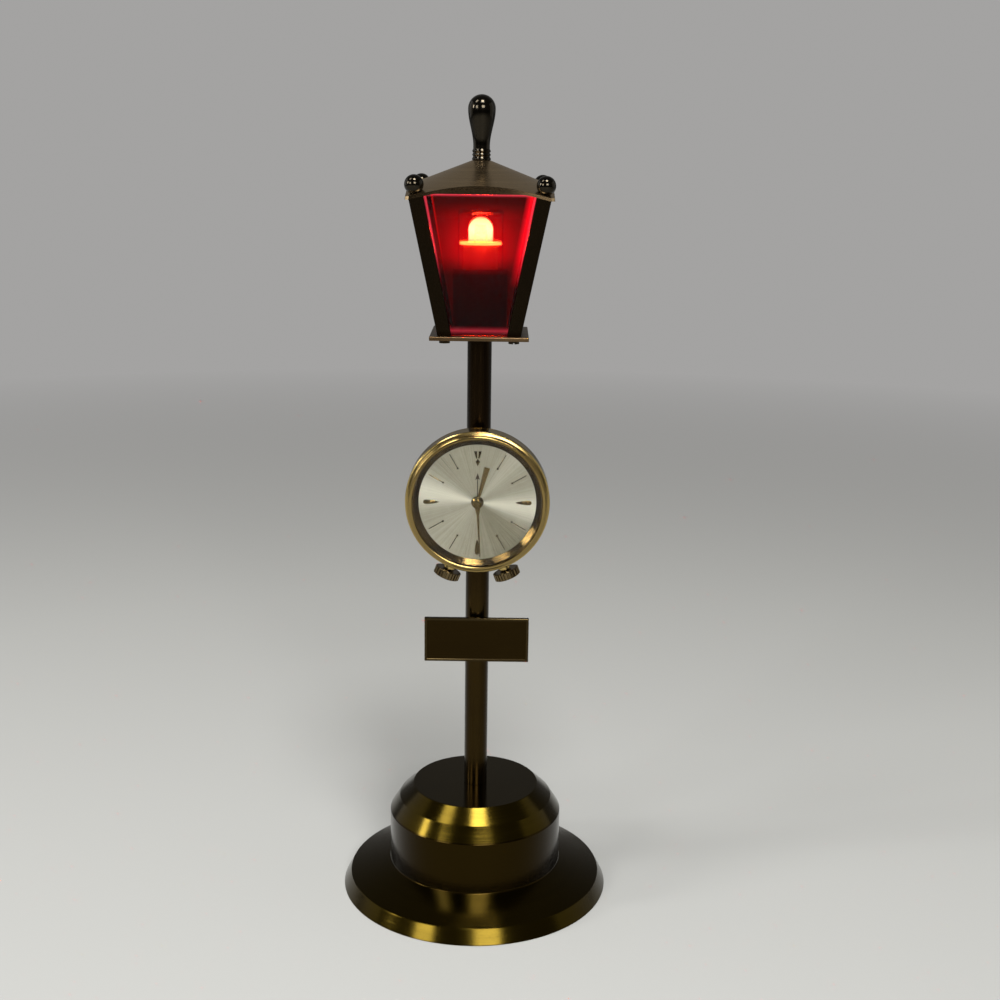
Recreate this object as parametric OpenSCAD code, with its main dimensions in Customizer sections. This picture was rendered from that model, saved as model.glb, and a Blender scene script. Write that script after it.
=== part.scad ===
// A lamppost clock lamp: base with a battery, post, sign plate, alarm clock and lantern.
// Millimetres, +Z up, origin on the ground under the post; the dial faces -Y.

/* [Base] */
// Width of the brim, from the crown's wall to the edge on the ground
brim_w = 16.2; // [14:0.1:20]
// Width of the rim's bevel
rim_w = 2.5; // [2:0.1:3]
// Height of the rim's bevel
rim_h = 4.7; // [4.2:0.1:6]
// Room between the end of the cell's body and the outside of the crown's wall
crown_room = 5.3; // [5.2:0.1:7]
// Height at which the brim meets the crown
crown_foot_z = 9.4; // [8.8:0.1:12]
// Top of the crown's upright wall
crown_top_z = 27; // [27:0.5:32]
// Width of the lower bevel of the crown
bevel_low_w = 3.3; // [2.8:0.1:3.5]
// Height of that edge above the upright wall
bevel_mid_h = 5.1; // [4.8:0.1:7]
// Width of the upper bevel of the crown
bevel_high_w = 4.8; // [4:0.1:5]
// Height of the flat top above the edge between the bevels
deck_h = 4.4; // [4.2:0.1:7]
// Thickness of the spun brass
shell_t = 0.8; // [0.6:0.05:1]
// Thickness of the steel base plate
plate_t = 1; // [0.8:0.1:1.4]
// Thickness of the felt ring
felt_t = 1.4; // [1.2:0.1:1.4]
// Distance from the crown's wall to the battery hatch in the base plate
hatch_in = 1.8; // [1.5:0.1:2.2]

/* [Battery and switch] */
// Radius of the battery cell
cell_r = 12.7; // [11:0.1:12.8]
// Length of the cell's body
cell_l = 48; // [44:0.5:48]
// Height of the switch's axis
switch_z = 18; // [16:0.5:20]
// Swing of the switch lever each way, degrees
switch_swing = 12; // [5:1:13]

/* [Post] */
// Outside radius of the post tube
post_r = 3.9; // [3.7:0.05:4.4]
// Length of the post tube
post_l = 154.1; // [150:0.5:175]
// Radius of the tie rod inside the post
rod_r = 2.95; // [2.6:0.05:3]
// Radius of the rod's bore for the wire
rod_bore_r = 1.6; // [1.4:0.05:1.8]
// Width of the sign plate
sign_w = 34.6; // [28:0.2:44]
// Height of the sign plate
sign_h = 15.1; // [12:0.1:18]
// Thickness of the sign plate
sign_t = 1.5; // [1.2:0.1:2]
// Height of the sign plate's centre
sign_z = 90.15; // [80:0.5:95]

/* [Clock] */
// Height of the dial's centre
clock_z = 139.1; // [136:0.1:150]
// Outside radius of the clock case
case_r = 23.1; // [22.9:0.1:25]
// Thickness of the case metal
case_t = 0.7; // [0.5:0.05:0.8]
// Distance of the bezel's front from the post's axis
case_front = 17.2; // [17:0.1:17.6]
// Distance of the case band's back edge from the post's axis
band_back = 8.7; // [8:0.1:8.8]
// Width of the bezel, from the case's edge to the dial that shows
bezel_w = 4.3; // [4.1:0.1:5]
// Distance of the minute hand's tip from the bezel
minute_short = 0.9; // [0.7:0.1:3]
// Distance of the hour hand's tip from the bezel
hour_short = 7; // [5:0.1:9]
// Distance of the alarm hand's tip from the bezel
alarm_short = 9.2; // [8:0.1:11]
// Minutes past twelve that the hands show
show_min = 29.5; // [0:0.5:59]
// Angle of each crown from straight down, degrees
crown_a = 21.5; // [20:0.5:30]
// Radius of the crowns
crown_knob_r = 4.3; // [3.6:0.1:4.6]
// Thickness of the crowns
crown_knob_t = 2.6; // [2:0.1:3.2]
// Travel of a crown when it is pulled out
crown_pull = 1.2; // [0.6:0.1:1.6]

/* [Lantern] */
// Half the width of the lantern's floor plate
floor_half = 15.5; // [14.5:0.1:17]
// Thickness of the floor plate
floor_t = 1.3; // [1:0.1:1.8]
// Width of the corner posts
bar_w = 4.4; // [4:0.1:5]
// Distance of a corner post's foot from the axis, along X and Y
bar_foot = 10.85; // [10.5:0.05:12]
// Lean of the corner posts, outwards per unit of height
bar_lean = 0.18; // [0.16:0.005:0.2]
// Height from the lantern's floor to the top of the panes
pane_h = 43.3; // [40:0.1:43.5]
// Thickness of the red panes
pane_t = 1.6; // [1.2:0.1:1.8]
// Half the width of the square roof
roof_half = 22.5; // [22.2:0.1:24]
// Height of the roof cone's point above the lantern's floor
roof_apex = 54.4; // [54:0.1:58]
// Slope of the roof
roof_slope = 0.383; // [0.36:0.001:0.4]
// Thickness of the roof
roof_t = 0.9; // [0.7:0.05:1.1]
// Thickness of the lip under the roof's edge, over each pane
lip_t = 0.8; // [0.6:0.05:0.9]
// Radius of the ball nuts
ball_r = 2.95; // [2.5:0.05:3.2]
// Distance of the ball nuts from the axis, along X and Y
ball_at = 19.8; // [19.4:0.05:20]
// Largest radius of the top finial
finial_r = 4.3; // [3.8:0.1:5]
// Height of the top finial
finial_h = 19.8; // [17:0.1:22]

/* [Lamp] */
// Radius of the dark lamp socket
socket_r = 8.7; // [8.3:0.1:9.2]
// Height of the lamp socket
socket_h = 20.2; // [17:0.1:20.8]
// Outside radius of the clear lamp glass
glass_r = 7.25; // [7:0.05:7.4]
// Height of the lamp glass's top above the lantern's floor
glass_top = 38.5; // [37.5:0.5:40]
// Radius of the bulb
bulb_r = 3.9; // [3.9:0.1:4.8]

/* [Hidden] */
$fn = 64;
run_gap = 0.05; // running clearance of a shaft in its hole
seat_gap = 0.1; // clearance beside a seated piece
eps = 0.01;

// Heights and radii that follow from the base
crown_r = max(cell_l / 2 + crown_room, cell_r + 16.6); // the switch needs the second
base_r = crown_r + brim_w;
rim_r = base_r - rim_w;
bevel_mid_r = crown_r - bevel_low_w;
deck_r = bevel_mid_r - bevel_high_w;
hatch_r = crown_r - hatch_in;
bevel_mid_z = crown_top_z + bevel_mid_h;
deck_z = bevel_mid_z + deck_h;
deck_under = deck_z - shell_t;
plate_z = felt_t;
plate_top = plate_z + plate_t;
plate_r = rim_r;
cell_z = plate_top + cell_r + 0.5;
boss_at = crown_r + 3.2;
boss_r = 2.3;
wall_in = crown_r - shell_t;
// The shell's outline, with the wall laid inside it
shell_out = [[base_r, 0], [rim_r, rim_h], [crown_r, crown_foot_z], [crown_r, crown_top_z],
  [bevel_mid_r, bevel_mid_z], [deck_r, deck_z]];
shell_in = [[deck_r - 0.42 * shell_t, deck_under],
  [bevel_mid_r - 0.85 * shell_t, bevel_mid_z - 0.52 * shell_t],
  [wall_in, crown_top_z - 0.3 * shell_t], [wall_in, crown_foot_z - 0.8 * shell_t],
  [rim_r - 0.5 * shell_t, rim_h - 0.95 * shell_t], [base_r - 1.1 * shell_t, 0]];
// Height of the brim's underside at a radius
function brim_under(r) = shell_in[3].y
  + (shell_in[4].y - shell_in[3].y) * (r - shell_in[3].x) / (shell_in[4].x - shell_in[3].x);
bracket_t = 1.2;
bracket_w = 14;
bracket_leg = cell_l / 2 + 2.8; // outside of the bracket's legs
nut_h = 2.8;
rod_low = deck_under - bracket_t - nut_h - 1.3;
lug_in = hatch_r - 3.5;
lug_out = hatch_r + 1.7;
lug_a = 8; // half the angle of a lid lug
lug_clear = 0.1;
lug_t = 0.8;
lid_turn = 40;
bushing_r = 2.95;
switch_pivot = crown_r + 1.1;

// Heights in the lantern
floor_z = deck_z + post_l;
deck2_z = floor_z + floor_t; // top of the lantern's floor plate
apex_z = deck2_z + roof_apex;
pane_z = deck2_z + pane_h;
lip_z = pane_z + 0.1; // bottom of the roof's lips
socket_top = deck2_z + socket_h;
flange_z = socket_top + 7.4;
glass_foot = deck2_z + 6;
finial_z = apex_z - roof_slope * 2.9 + 0.05;
ball_z = apex_z - roof_slope * ball_at * sqrt(2) + 2.4;

// Distances from the post's axis in the clock, towards the viewer
dial_front = case_front - 3;
dial_t = 0.4;
plate_front = dial_front - 1.8;
front_plate_t = 0.9;
back_plate_w = 5.9;
back_plate_t = 0.8;
stem_w = 10.6;
stem_r = 0.75;
back_out = post_r + 0.8;
saddle_l = 24; // length of the saddle along the post
band_in = case_r - case_t;
bezel_in = band_in - run_gap;
dial_r = case_r - 2.1;
dial_show_r = case_r - bezel_w;
minute_l = dial_show_r - minute_short;
hour_l = dial_show_r - hour_short;
alarm_l = dial_show_r - alarm_short;
movement_r = 15.4;
pinion_at = 14.8; // where a stem pinion starts along its stem
pinion_l = 1.8;
stem_at = pinion_at + 0.6 - crown_pull; // inner end of a stem, so that it stays in its pinion
knob_at = case_r + 2;

// Gears: teeth, module and the place of each arbor
barrel_teeth = 54;
centre_pinion = 9;
centre_teeth = 60;
third_pinion = 8;
third_teeth = 56;
fourth_pinion = 7;
fourth_teeth = 60;
escape_pinion = 8;
cannon_teeth = 12;
minute_teeth = 36;
minute_pinion = 10;
hour_teeth = 40;
hand_mod = 0.25;
hand_mod2 = 0.24;
barrel_mod = 0.22;
centre_mod = 0.2;
third_mod = 0.16;
fourth_mod = 0.14;
barrel_a = 160;
third_a = 20;
fourth_a = -60;
escape_a = -130;
minute_wheel_a = 200;
function polar(r, a) = [r * cos(a), r * sin(a)];
barrel_at = polar((barrel_teeth + centre_pinion) / 2 * barrel_mod, barrel_a);
third_at = polar((centre_teeth + third_pinion) / 2 * centre_mod, third_a);
fourth_at = third_at + polar((third_teeth + fourth_pinion) / 2 * third_mod, fourth_a);
escape_at = fourth_at + polar((fourth_teeth + escape_pinion) / 2 * fourth_mod, escape_a);
lever_at = escape_at + polar(4.9, 210);
balance_at = lever_at + polar(4.4, 210);
alarm_barrel_at = [3.4, 9.6];
hammer_at = [-10.4, -6.6];
minute_wheel_at = polar((cannon_teeth + minute_teeth) / 2 * hand_mod, minute_wheel_a);
// Phase of a gear with n2 teeth that meshes with one of n1 teeth and phase p1, seen at angle a
function mesh(p1, n1, n2, a) = a + 180 + 180 / n2 - (p1 - a) * n1 / n2;
minute_a = 90 - show_min * 6;
hour_a = 90 - show_min / 2;

// Routes of the two insulated wires
cell_end = cell_l / 2;
switch_in = crown_r - 14.4; // inner end of the switch's tags
battery_route = [[cell_end + 0.9, 2.6, 20.4], [cell_end + 0.9, 8, 22], [cell_end + 0.3, 12.2, 24.4],
  [cell_end - 5, 15.6, 24.6], [12, switch_in + 2.5, 22.8], [7.4, switch_in + 0.6, 21.4],
  [5, switch_in - 0.75, 19.6], [4.7, switch_in - 0.68, 18]];
lamp_route = [[-4.7, switch_in - 0.68, 18], [-4, switch_in - 1, 22.4], [-1.6, 12.2, 26],
  [-0.6, 8, 28.6], [0, 3, 29], [0, 0.8, 29.8], [0, 0.1, 32], [0, 0, 36], [0, 0, 80], [0, 0, 130],
  [0, 0, deck2_z - 11.9], [0, 0, deck2_z + 5.3]];
wire_r = 0.55;

module at_clock() { translate([0, 0, clock_z]) rotate([90, 0, 0]) children(); }
module disc(r, t, z = 0) { translate([0, 0, z]) cylinder(r = r, h = t); }
module ring(ro, ri, t, z = 0) {
  translate([0, 0, z]) difference() {
    cylinder(r = ro, h = t);
    translate([0, 0, -1]) cylinder(r = ri, h = t + 2);
  }
}
module turned(points) { rotate_extrude($fn = 96) polygon(points); }
module hexnut(flat, bore, h) {
  difference() {
    cylinder(r = flat / 2 / cos(30), h = h, $fn = 6);
    translate([0, 0, -1]) cylinder(r = bore, h = h + 2);
  }
}
// A gear's outline with thin, straight-sided teeth and room for backlash
module gear2d(n, m, phase = 0, thin = 0.36) {
  p = 360 / n;
  rt = n * m / 2 + 0.72 * m;
  rr = n * m / 2 - 1.1 * m;
  polygon([for (i = [0 : n - 1]) for (k = [[-0.36, rr], [-thin / 2, n * m / 2], [-thin / 4, rt],
    [thin / 4, rt], [thin / 2, n * m / 2], [0.36, rr]]) polar(k[1], phase + (i + k[0]) * p)]);
}
module gear(n, m, z, t, phase = 0, bore = 0) {
  translate([0, 0, z]) linear_extrude(t) difference() {
    gear2d(n, m, phase);
    if (bore > 0) circle(r = bore);
  }
}
// A wire: one tube with a ring of eight points square to the route at each of its points
function unit(v) = v / norm(v);
function along(p, i) = unit(p[min(i + 1, len(p) - 1)] - p[max(i - 1, 0)]);
module wire(route, r, s = 8) {
  n = len(route);
  pts = [for (i = [0 : n - 1]) let (d = along(route, i),
    a = unit(cross(d, abs(d.z) > 0.9 ? [1, 0, 0] : [0, 0, 1])), b = cross(d, a))
    for (k = [0 : s - 1]) route[i] + r * (cos(k * 360 / s) * a + sin(k * 360 / s) * b)];
  sides = [for (i = [0 : n - 2]) for (k = [0 : s - 1])
    [(i + 1) * s + k, (i + 1) * s + (k + 1) % s, i * s + (k + 1) % s, i * s + k]];
  ends = [[for (k = [0 : s - 1]) k], [for (k = [s - 1 : -1 : 0]) (n - 1) * s + k]];
  polyhedron(pts, concat(ends, sides));
}
// A smooth route through the given points
function blend(p, i, t) = let (a = p[max(i - 1, 0)], b = p[i], c = p[i + 1], d = p[min(i + 2, len(p) - 1)])
  0.5 * (2 * b + (c - a) * t + (2 * a - 5 * b + 4 * c - d) * t * t + (3 * b - a - 3 * c + d) * t * t * t);
function smooth(p, k) = concat([for (i = [0 : len(p) - 2]) for (t = [0 : k - 1]) blend(p, i, t / k)],
  [p[len(p) - 1]]);

module base_shell() color("darkgoldenrod") difference() {
  union() {
    turned(concat(shell_out, [[0, deck_z], [0, deck_under]], shell_in));
    for (a = [30, 150, 270]) rotate(a) translate([boss_at, 0, plate_top])
      cylinder(r = boss_r, h = brim_under(boss_at) - plate_top);
  }
  translate([0, 0, deck_under - 1]) cylinder(r = rod_r + seat_gap, h = shell_t + 2);
  for (a = [30, 150, 270]) rotate(a) translate([boss_at, 0, 0]) cylinder(r = 1.1, h = plate_top + 3.4);
  translate([0, wall_in - 3, switch_z]) rotate([-90, 0, 0]) cylinder(r = bushing_r + 0.15, h = 6);
}
module base_plate() color("silver") translate([0, 0, plate_z]) linear_extrude(plate_t) difference() {
  circle(r = plate_r);
  circle(r = hatch_r);
  for (a = [30, 150, 270]) rotate(a) translate([boss_at, 0]) circle(r = 1.2);
  for (a = [90, 210, 330]) rotate(a + lid_turn) polygon(concat(
    [for (t = [-1, 1]) polar(lug_in, t * (lug_a + 2))],
    [for (t = [1, 0, -1]) polar(lug_out + 0.4, t * (lug_a + 1.5))]));
}
module base_screws() color("silver") for (a = [30, 150, 270]) rotate(a) translate([boss_at, 0, 0]) {
  difference() {
    disc(2.1, plate_z - 0.3, 0.3);
    translate([-3, -0.3, 0]) cube([6, 0.6, 0.7]);
  }
  disc(1.05, plate_t + 3.2, plate_z);
}
module felt_ring() color("darkgreen") ring(plate_r - 0.5, boss_at + boss_r + 0.6, felt_t);
module battery_lid() color("silver") {
  difference() {
    union() {
      disc(hatch_r - 0.3, plate_t, plate_z);
      for (a = [90, 210, 330]) rotate(a) {
        translate([0, 0, plate_top + lug_clear]) linear_extrude(lug_t) polygon(concat(
          [polar(lug_in, lug_a), polar(lug_in, -lug_a)],
          [for (t = [-1 : 0.5 : 1]) polar(lug_out, t * lug_a)]));
        translate([0, 0, plate_top - 0.2]) linear_extrude(0.2 + lug_clear) polygon(concat(
          [polar(lug_in, lug_a), polar(lug_in, -lug_a)],
          [for (t = [-1 : 0.5 : 1]) polar(hatch_r - 0.5, t * lug_a)]));
      }
    }
    translate([-8, -0.9, 0]) cube([16, 1.8, plate_z + 0.5]);
  }
}
module battery_bracket() color("saddlebrown") rotate([90, 0, 0]) difference() {
  translate([0, 0, -bracket_w / 2]) linear_extrude(bracket_w)
    polygon(concat(bracket_side(0, 1), bracket_side(bracket_t, -1)));
  translate([0, deck_under - bracket_t - 1, 0]) rotate([-90, 0, 0]) cylinder(r = rod_r + seat_gap, h = 4);
}
// One face of the bent strip, at a depth under its outer face
function bracket_side(d, way) = let (half = [[deck_r - 2 - 0.4 * d, deck_under - d],
  [bevel_mid_r - 2.2 - 0.9 * d, bevel_mid_z - 0.6 - 0.6 * d],
  [bracket_leg - d, crown_top_z + 0.3 - 0.3 * d], [bracket_leg - d, 5]])
  concat([for (i = [3 : -1 : 0]) [-way * half[i].x, half[i].y]], [for (p = half) [way * p.x, p.y]]);
module battery_cell() color("dimgray") translate([-cell_end, 0, cell_z]) rotate([0, 90, 0]) turned([
  [0, 0], [cell_r - 0.8, 0], [cell_r, 0.8], [cell_r, cell_l - 0.8], [cell_r - 0.8, cell_l], [3, cell_l],
  [3, cell_l + 1.2], [0, cell_l + 1.2]]);
module battery_contacts() color("gold") {
  leg = bracket_leg - bracket_t;
  translate([leg - 0.4, -2.5, 8]) cube([0.4, 5, 14]);
  translate([0, 2.5, 0]) rotate([90, 0, 0]) linear_extrude(5) polygon([[-leg, 8], [-leg + 0.3, 8],
    [-leg + 0.3, 10], [-cell_end - 0.05, cell_z], [-leg + 0.3, 21], [-leg + 0.3, 23], [-leg, 23],
    [-leg, 20.4], [-cell_end - 0.4, cell_z], [-leg, 10.6]]);
}
module switch_body() color("dimgray") translate([0, 0, switch_z]) difference() {
  union() {
    translate([-6.3, switch_in + 3.5, -3.4]) cube([12.6, wall_in - 1.4 - switch_in - 3.5, 6.8]);
    translate([0, wall_in - 1.5, 0]) rotate([-90, 0, 0]) cylinder(r = bushing_r, h = 6.2);
    for (x = [-4.7, 0, 4.7]) translate([x - 1, switch_in, -0.4]) cube([2, 3.6, 0.8]);
  }
  translate([0, wall_in + 0.2, 0]) rotate([-90, 0, 0]) cylinder(r = bushing_r - 1, h = 9);
  lever_pin(run_gap);
}
// The pin across the bushing that the lever tips on
module lever_pin(g = 0) translate([0, switch_pivot, 0]) rotate([0, 90, 0])
  cylinder(r = 0.45 + g, h = 2 * bushing_r - 0.2 + 6 * g, center = true);
module switch_nut() color("silver") translate([0, crown_r + 0.1, switch_z]) rotate([-90, 0, 0])
  hexnut(8, bushing_r + seat_gap, 2);
module switch_lever() color("silver") {
  translate([0, switch_pivot, switch_z]) rotate([switch_swing - 90, 0, 0])
    turned([[0, -1.4], [1, -1], [1.45, 0], [1, 1], [0.9, 3], [1.3, 10.2], [1, 11.2], [0, 11.6]]);
  translate([0, 0, switch_z]) lever_pin();
}
module rod_nut() color("goldenrod") translate([0, 0, deck_under - bracket_t - nut_h])
  hexnut(9, rod_r + run_gap, nut_h);
module battery_wire() color("red") wire(smooth(battery_route, 4), wire_r);
module lamp_wire() color("black") wire(smooth(lamp_route, 4), wire_r);
module post_tube() color("darkgoldenrod") ring(post_r, rod_r + 0.2, post_l, deck_z);
module tie_rod() color("goldenrod") ring(rod_r, rod_bore_r, deck2_z + 2.5 - rod_low, rod_low);
module sign_plate() color("saddlebrown") translate([0, -post_r - 3.1, sign_z]) difference() {
  intersection() {
    translate([-sign_w / 2, 0, -sign_h / 2]) cube([sign_w, sign_t, sign_h]);
    rotate([-90, 0, 0]) cylinder(r = norm([sign_w, sign_h]) / 2 - 0.25, h = sign_t);
  }
  translate([-sign_w / 2 + 0.9, -1, -sign_h / 2 + 0.9]) cube([sign_w - 1.8, 1.3, sign_h - 1.8]);
}
module sign_clip() color("goldenrod") translate([0, 0, sign_z]) difference() {
  union() {
    disc(post_r + 1.1, 8, -4);
    translate([-3, -post_r - 3.1 + sign_t, -4]) cube([6, 3, 8]);
  }
  disc(post_r + run_gap, 10, -5);
  translate([-2, 0, -5]) cube([4, post_r + 3, 10]);
}
module lantern_floor() color("darkgoldenrod") translate([0, 0, floor_z]) difference() {
  intersection() {
    translate([-floor_half, -floor_half, 0]) cube([2 * floor_half, 2 * floor_half, floor_t]);
    cylinder(r = floor_half * sqrt(2) - 0.5, h = floor_t);
  }
  translate([0, 0, -1]) cylinder(r = rod_r + seat_gap, h = floor_t + 2);
  for (a = [0 : 90 : 270]) rotate(a) translate([bar_foot, bar_foot, -1]) cylinder(r = 1.1, h = floor_t + 2);
}
// A straight bar or sheet that leans outwards: four corners at a low and at a high level
module leaning(low, high, z0, z1) polyhedron(
  concat([for (p = low) [p.x, p.y, z0]], [for (p = high) [p.x, p.y, z1]]),
  [[3, 2, 1, 0], [4, 5, 6, 7], [1, 5, 4, 0], [2, 6, 5, 1], [3, 7, 6, 2], [0, 4, 7, 3]]);
function bar_at(z) = bar_foot + bar_lean * (z - deck2_z);
function square_at(c, h) = [[c - h, c - h], [c - h, c + h], [c + h, c + h], [c + h, c - h]];
pane_deep = 0.7; // how far a pane's edge goes into its groove
function pane_low(z, g) = let (w = bar_at(z) - bar_w / 2 + pane_deep + g, y = bar_at(z) + 0.4)
  [[-w, -y - pane_t / 2 - g], [-w, -y + pane_t / 2 + g], [w, -y + pane_t / 2 + g], [w, -y - pane_t / 2 - g]];
module pane(g = 0) leaning(pane_low(deck2_z - g, g), pane_low(pane_z + g, g), deck2_z - g, pane_z + g);
module roof_cone(drop = 0) translate([0, 0, apex_z - drop]) rotate_extrude($fn = 96)
  polygon([[0, 0], [50, -50 * roof_slope], [50, 20], [0, 20]]);
module corner_posts() color("saddlebrown") for (a = [0 : 90 : 270]) rotate(a) difference() {
  leaning(square_at(bar_at(deck2_z), bar_w / 2), square_at(bar_at(apex_z), bar_w / 2), deck2_z, apex_z);
  roof_cone(roof_t * 1.07 + 0.05);
  translate([bar_foot, bar_foot, deck2_z - 1]) cylinder(r = 0.75, h = 4.4);
  translate([ball_at, ball_at, ball_z - 4.6]) cylinder(r = 0.65, h = 10);
  rotate(90) pane(seat_gap);
  rotate(180) pane(seat_gap);
}
module side_panes() color([0.8, 0.05, 0.1, 0.6]) for (a = [0 : 90 : 270]) rotate(a) pane();
module corner_screws() color("goldenrod") for (a = [0 : 90 : 270]) rotate(a) {
  translate([bar_foot, bar_foot, floor_z - 1.1]) difference() {
    union() {
      disc(1.7, 1.1);
      disc(0.7, floor_t + 3.2, 1);
    }
    translate([-2, -0.2, -1]) cube([4, 0.4, 1.4]);
  }
  translate([ball_at, ball_at, ball_z - 4.4]) cylinder(r = 0.6, h = 4.2);
}
module ball_nuts() color("darkgoldenrod") for (a = [0 : 90 : 270]) rotate(a) difference() {
  translate([ball_at, ball_at, ball_z]) sphere(r = ball_r);
  difference() {
    translate([0, 0, ball_z - 9]) cylinder(r = 60, h = 18);
    roof_cone(-0.05);
  }
  translate([ball_at, ball_at, ball_z - 5]) cylinder(r = 0.65, h = 5);
}
module roof() color("darkgoldenrod") difference() {
  intersection() {
    union() {
      translate([0, 0, apex_z]) turned([[0, 0], [50, -50 * roof_slope],
        [50, -50 * roof_slope - roof_t * 1.07], [0, -roof_t * 1.07]]);
      translate([0, 0, lip_z]) difference() {
        cylinder(r1 = (apex_z - 0.4 - lip_z) / roof_slope, r2 = 0, h = apex_z - 0.4 - lip_z);
        translate([lip_t - roof_half, lip_t - roof_half, -1])
          cube([2 * roof_half - 2 * lip_t, 2 * roof_half - 2 * lip_t, apex_z - lip_z + 2]);
      }
    }
    translate([-roof_half, -roof_half, deck2_z]) cube([2 * roof_half, 2 * roof_half, roof_apex + 5]);
    translate([0, 0, deck2_z]) cylinder(r = roof_half * sqrt(2) - 0.9, h = roof_apex + 5);
  }
  for (a = [0 : 90 : 270]) rotate(a) translate([ball_at, ball_at, ball_z - 9]) cylinder(r = 0.7, h = 18);
  translate([0, 0, apex_z - 5]) cylinder(r = 1.3, h = 9);
}
module top_finial() color("darkgoldenrod") translate([0, 0, finial_z]) difference() {
  turned(concat([[0, 2.9 * roof_slope], [2.9, 0], [2.95, 0.5], [2.6, 1.1], [2.95, 1.65], [2.6, 2.2],
    [2.95, 2.75], [2.6, 3.4], [2.6, 4.4]],
    [for (t = [0.1 : 0.1 : 0.9])
      [2.6 + (finial_r - 2.6) * (3 * t * t - 2 * t * t * t), 4.4 + t * (finial_h - 8.8)]],
    [for (a = [0 : 10 : 90]) [finial_r * cos(a), finial_h - finial_r + finial_r * sin(a)]]));
  translate([0, 0, -1]) cylinder(r = 1.25, h = 6);
}
module finial_screw() color("silver") translate([0, 0, apex_z - roof_t * 1.07 - 2.9]) {
  difference() {
    disc(2.6, 1.6);
    translate([-3, -0.3, -0.1]) cube([6, 0.6, 0.7]);
  }
  disc(1.2, finial_z + 4.6 - (apex_z - roof_t * 1.07 - 2.9));
}
module lamp_socket() color("dimgray") difference() {
  disc(socket_r, socket_h, deck2_z);
  disc(glass_r + seat_gap, socket_h, glass_foot);
  disc(rod_r + run_gap, 2.55, deck2_z - eps);
  disc(wire_r + 0.25, 8, deck2_z);
}
module socket_contacts() color("gold") {
  ring(5.6, 4.75, flange_z - glass_foot, glass_foot);
  translate([-3.6, -1.2, glass_foot]) cube([2.8, 2.4, 0.3]);
  translate([-3.6, -1.2, glass_foot]) cube([0.3, 2.4, 2.6]);
  translate([-3.6, -1.2, glass_foot + 2.6]) cube([4.6, 2.4, 0.3]);
}
module bulb_cap() color("goldenrod") {
  ring(6.6, 4, 0.7, flange_z);
  ring(4.65, 4, flange_z - glass_foot - 4.4, glass_foot + 4.4);
  disc(4.65, 0.5, glass_foot + 3.9);
  disc(1.4, 0.95, glass_foot + 2.95);
}
bulb_z = flange_z + 4.5;
module bulb_glass() color([1, 0.9, 0.8, 0.5]) translate([0, 0, bulb_z]) rotate_extrude() difference() {
  union() {
    circle(r = bulb_r);
    translate([0, -bulb_r - 2]) square([3.9, bulb_r + 2]);
  }
  circle(r = bulb_r - 0.5);
  translate([-10, -10]) square([10, 20]);
  translate([-1, -bulb_r - 3]) square([4.3, bulb_r + 3]);
}
module bulb_filament() color("orange") {
  for (x = [-1.6, 1.6]) translate([x, 0, glass_foot + 4.5])
    cylinder(r = 0.25, h = bulb_z - glass_foot - 4.5);
  translate([-1.8, 0, bulb_z + 0.1]) rotate([0, 90, 0]) cylinder(r = 0.4, h = 3.6);
}
module lamp_glass() color([0.9, 0.95, 1, 0.3]) translate([0, 0, glass_foot]) difference() {
  cylinder(r = glass_r, h = deck2_z + glass_top - glass_foot);
  translate([0, 0, -1]) cylinder(r = glass_r - 0.5, h = deck2_z + glass_top - glass_foot + 0.2);
}

module case_band() color("gold") at_clock() difference() {
  union() {
    turned([[case_r - case_t, band_back], [case_r, band_back], [case_r, case_front - 2.1],
      [case_r - 0.25, case_front - 1.85], [case_r - case_t, case_front - 1.85]]);
    for (s = [-1, 1]) stem_line(s) translate([0, 0, case_r - 0.6]) cylinder(r = 1.9, h = 2.3);
  }
  for (s = [-1, 1]) stem_line(s) translate([0, 0, case_r - 4]) cylinder(r = stem_r + seat_gap, h = 8);
}
// Puts what is drawn along +Z on a crown's stem, pointing out of the clock
module stem_line(s) translate([0, 0, stem_w]) rotate(s * crown_a) rotate([90, 0, 0]) children();
module bezel() color("gold") at_clock() turned([[dial_show_r, dial_front + 0.05],
  [dial_show_r, dial_front + 0.3], [dial_r - 0.6, case_front - 1.15], [dial_r + 0.05, case_front - 1.15],
  [dial_r + 0.05, case_front - 0.35], [dial_r - 0.25, case_front - 0.3], [dial_r - 0.2, case_front - 0.1],
  [dial_r + 0.1, case_front], [dial_r + 0.6, case_front - 0.05], [dial_r + 0.95, case_front - 0.4],
  [dial_r + 1, case_front - 1.4], [case_r - 0.4, case_front - 1.6], [case_r - 0.4, case_front - 1.8],
  [bezel_in, case_front - 1.8], [bezel_in, dial_front - 1.3], [dial_r + 0.15, dial_front - 1.3],
  [dial_r + 0.15, dial_front + 0.05]]);
module crystal() color([0.9, 0.95, 1, 0.25]) at_clock() turned([[0, case_front - 1.1],
  [dial_r - 0.05, case_front - 1.1], [dial_r - 0.05, case_front - 0.4], [dial_r - 0.4, case_front - 0.35],
  [0, case_front - 0.3]]);
module dial() color("beige") at_clock() {
  difference() {
    disc(dial_r, dial_t, dial_front - dial_t);
    disc(1.85, 3, dial_front - 2);
  }
  for (a = [60, 240]) rotate(a) translate([dial_r - 3, 0, dial_front - 2.4]) cylinder(r = 0.5, h = 2.1);
}
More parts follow.
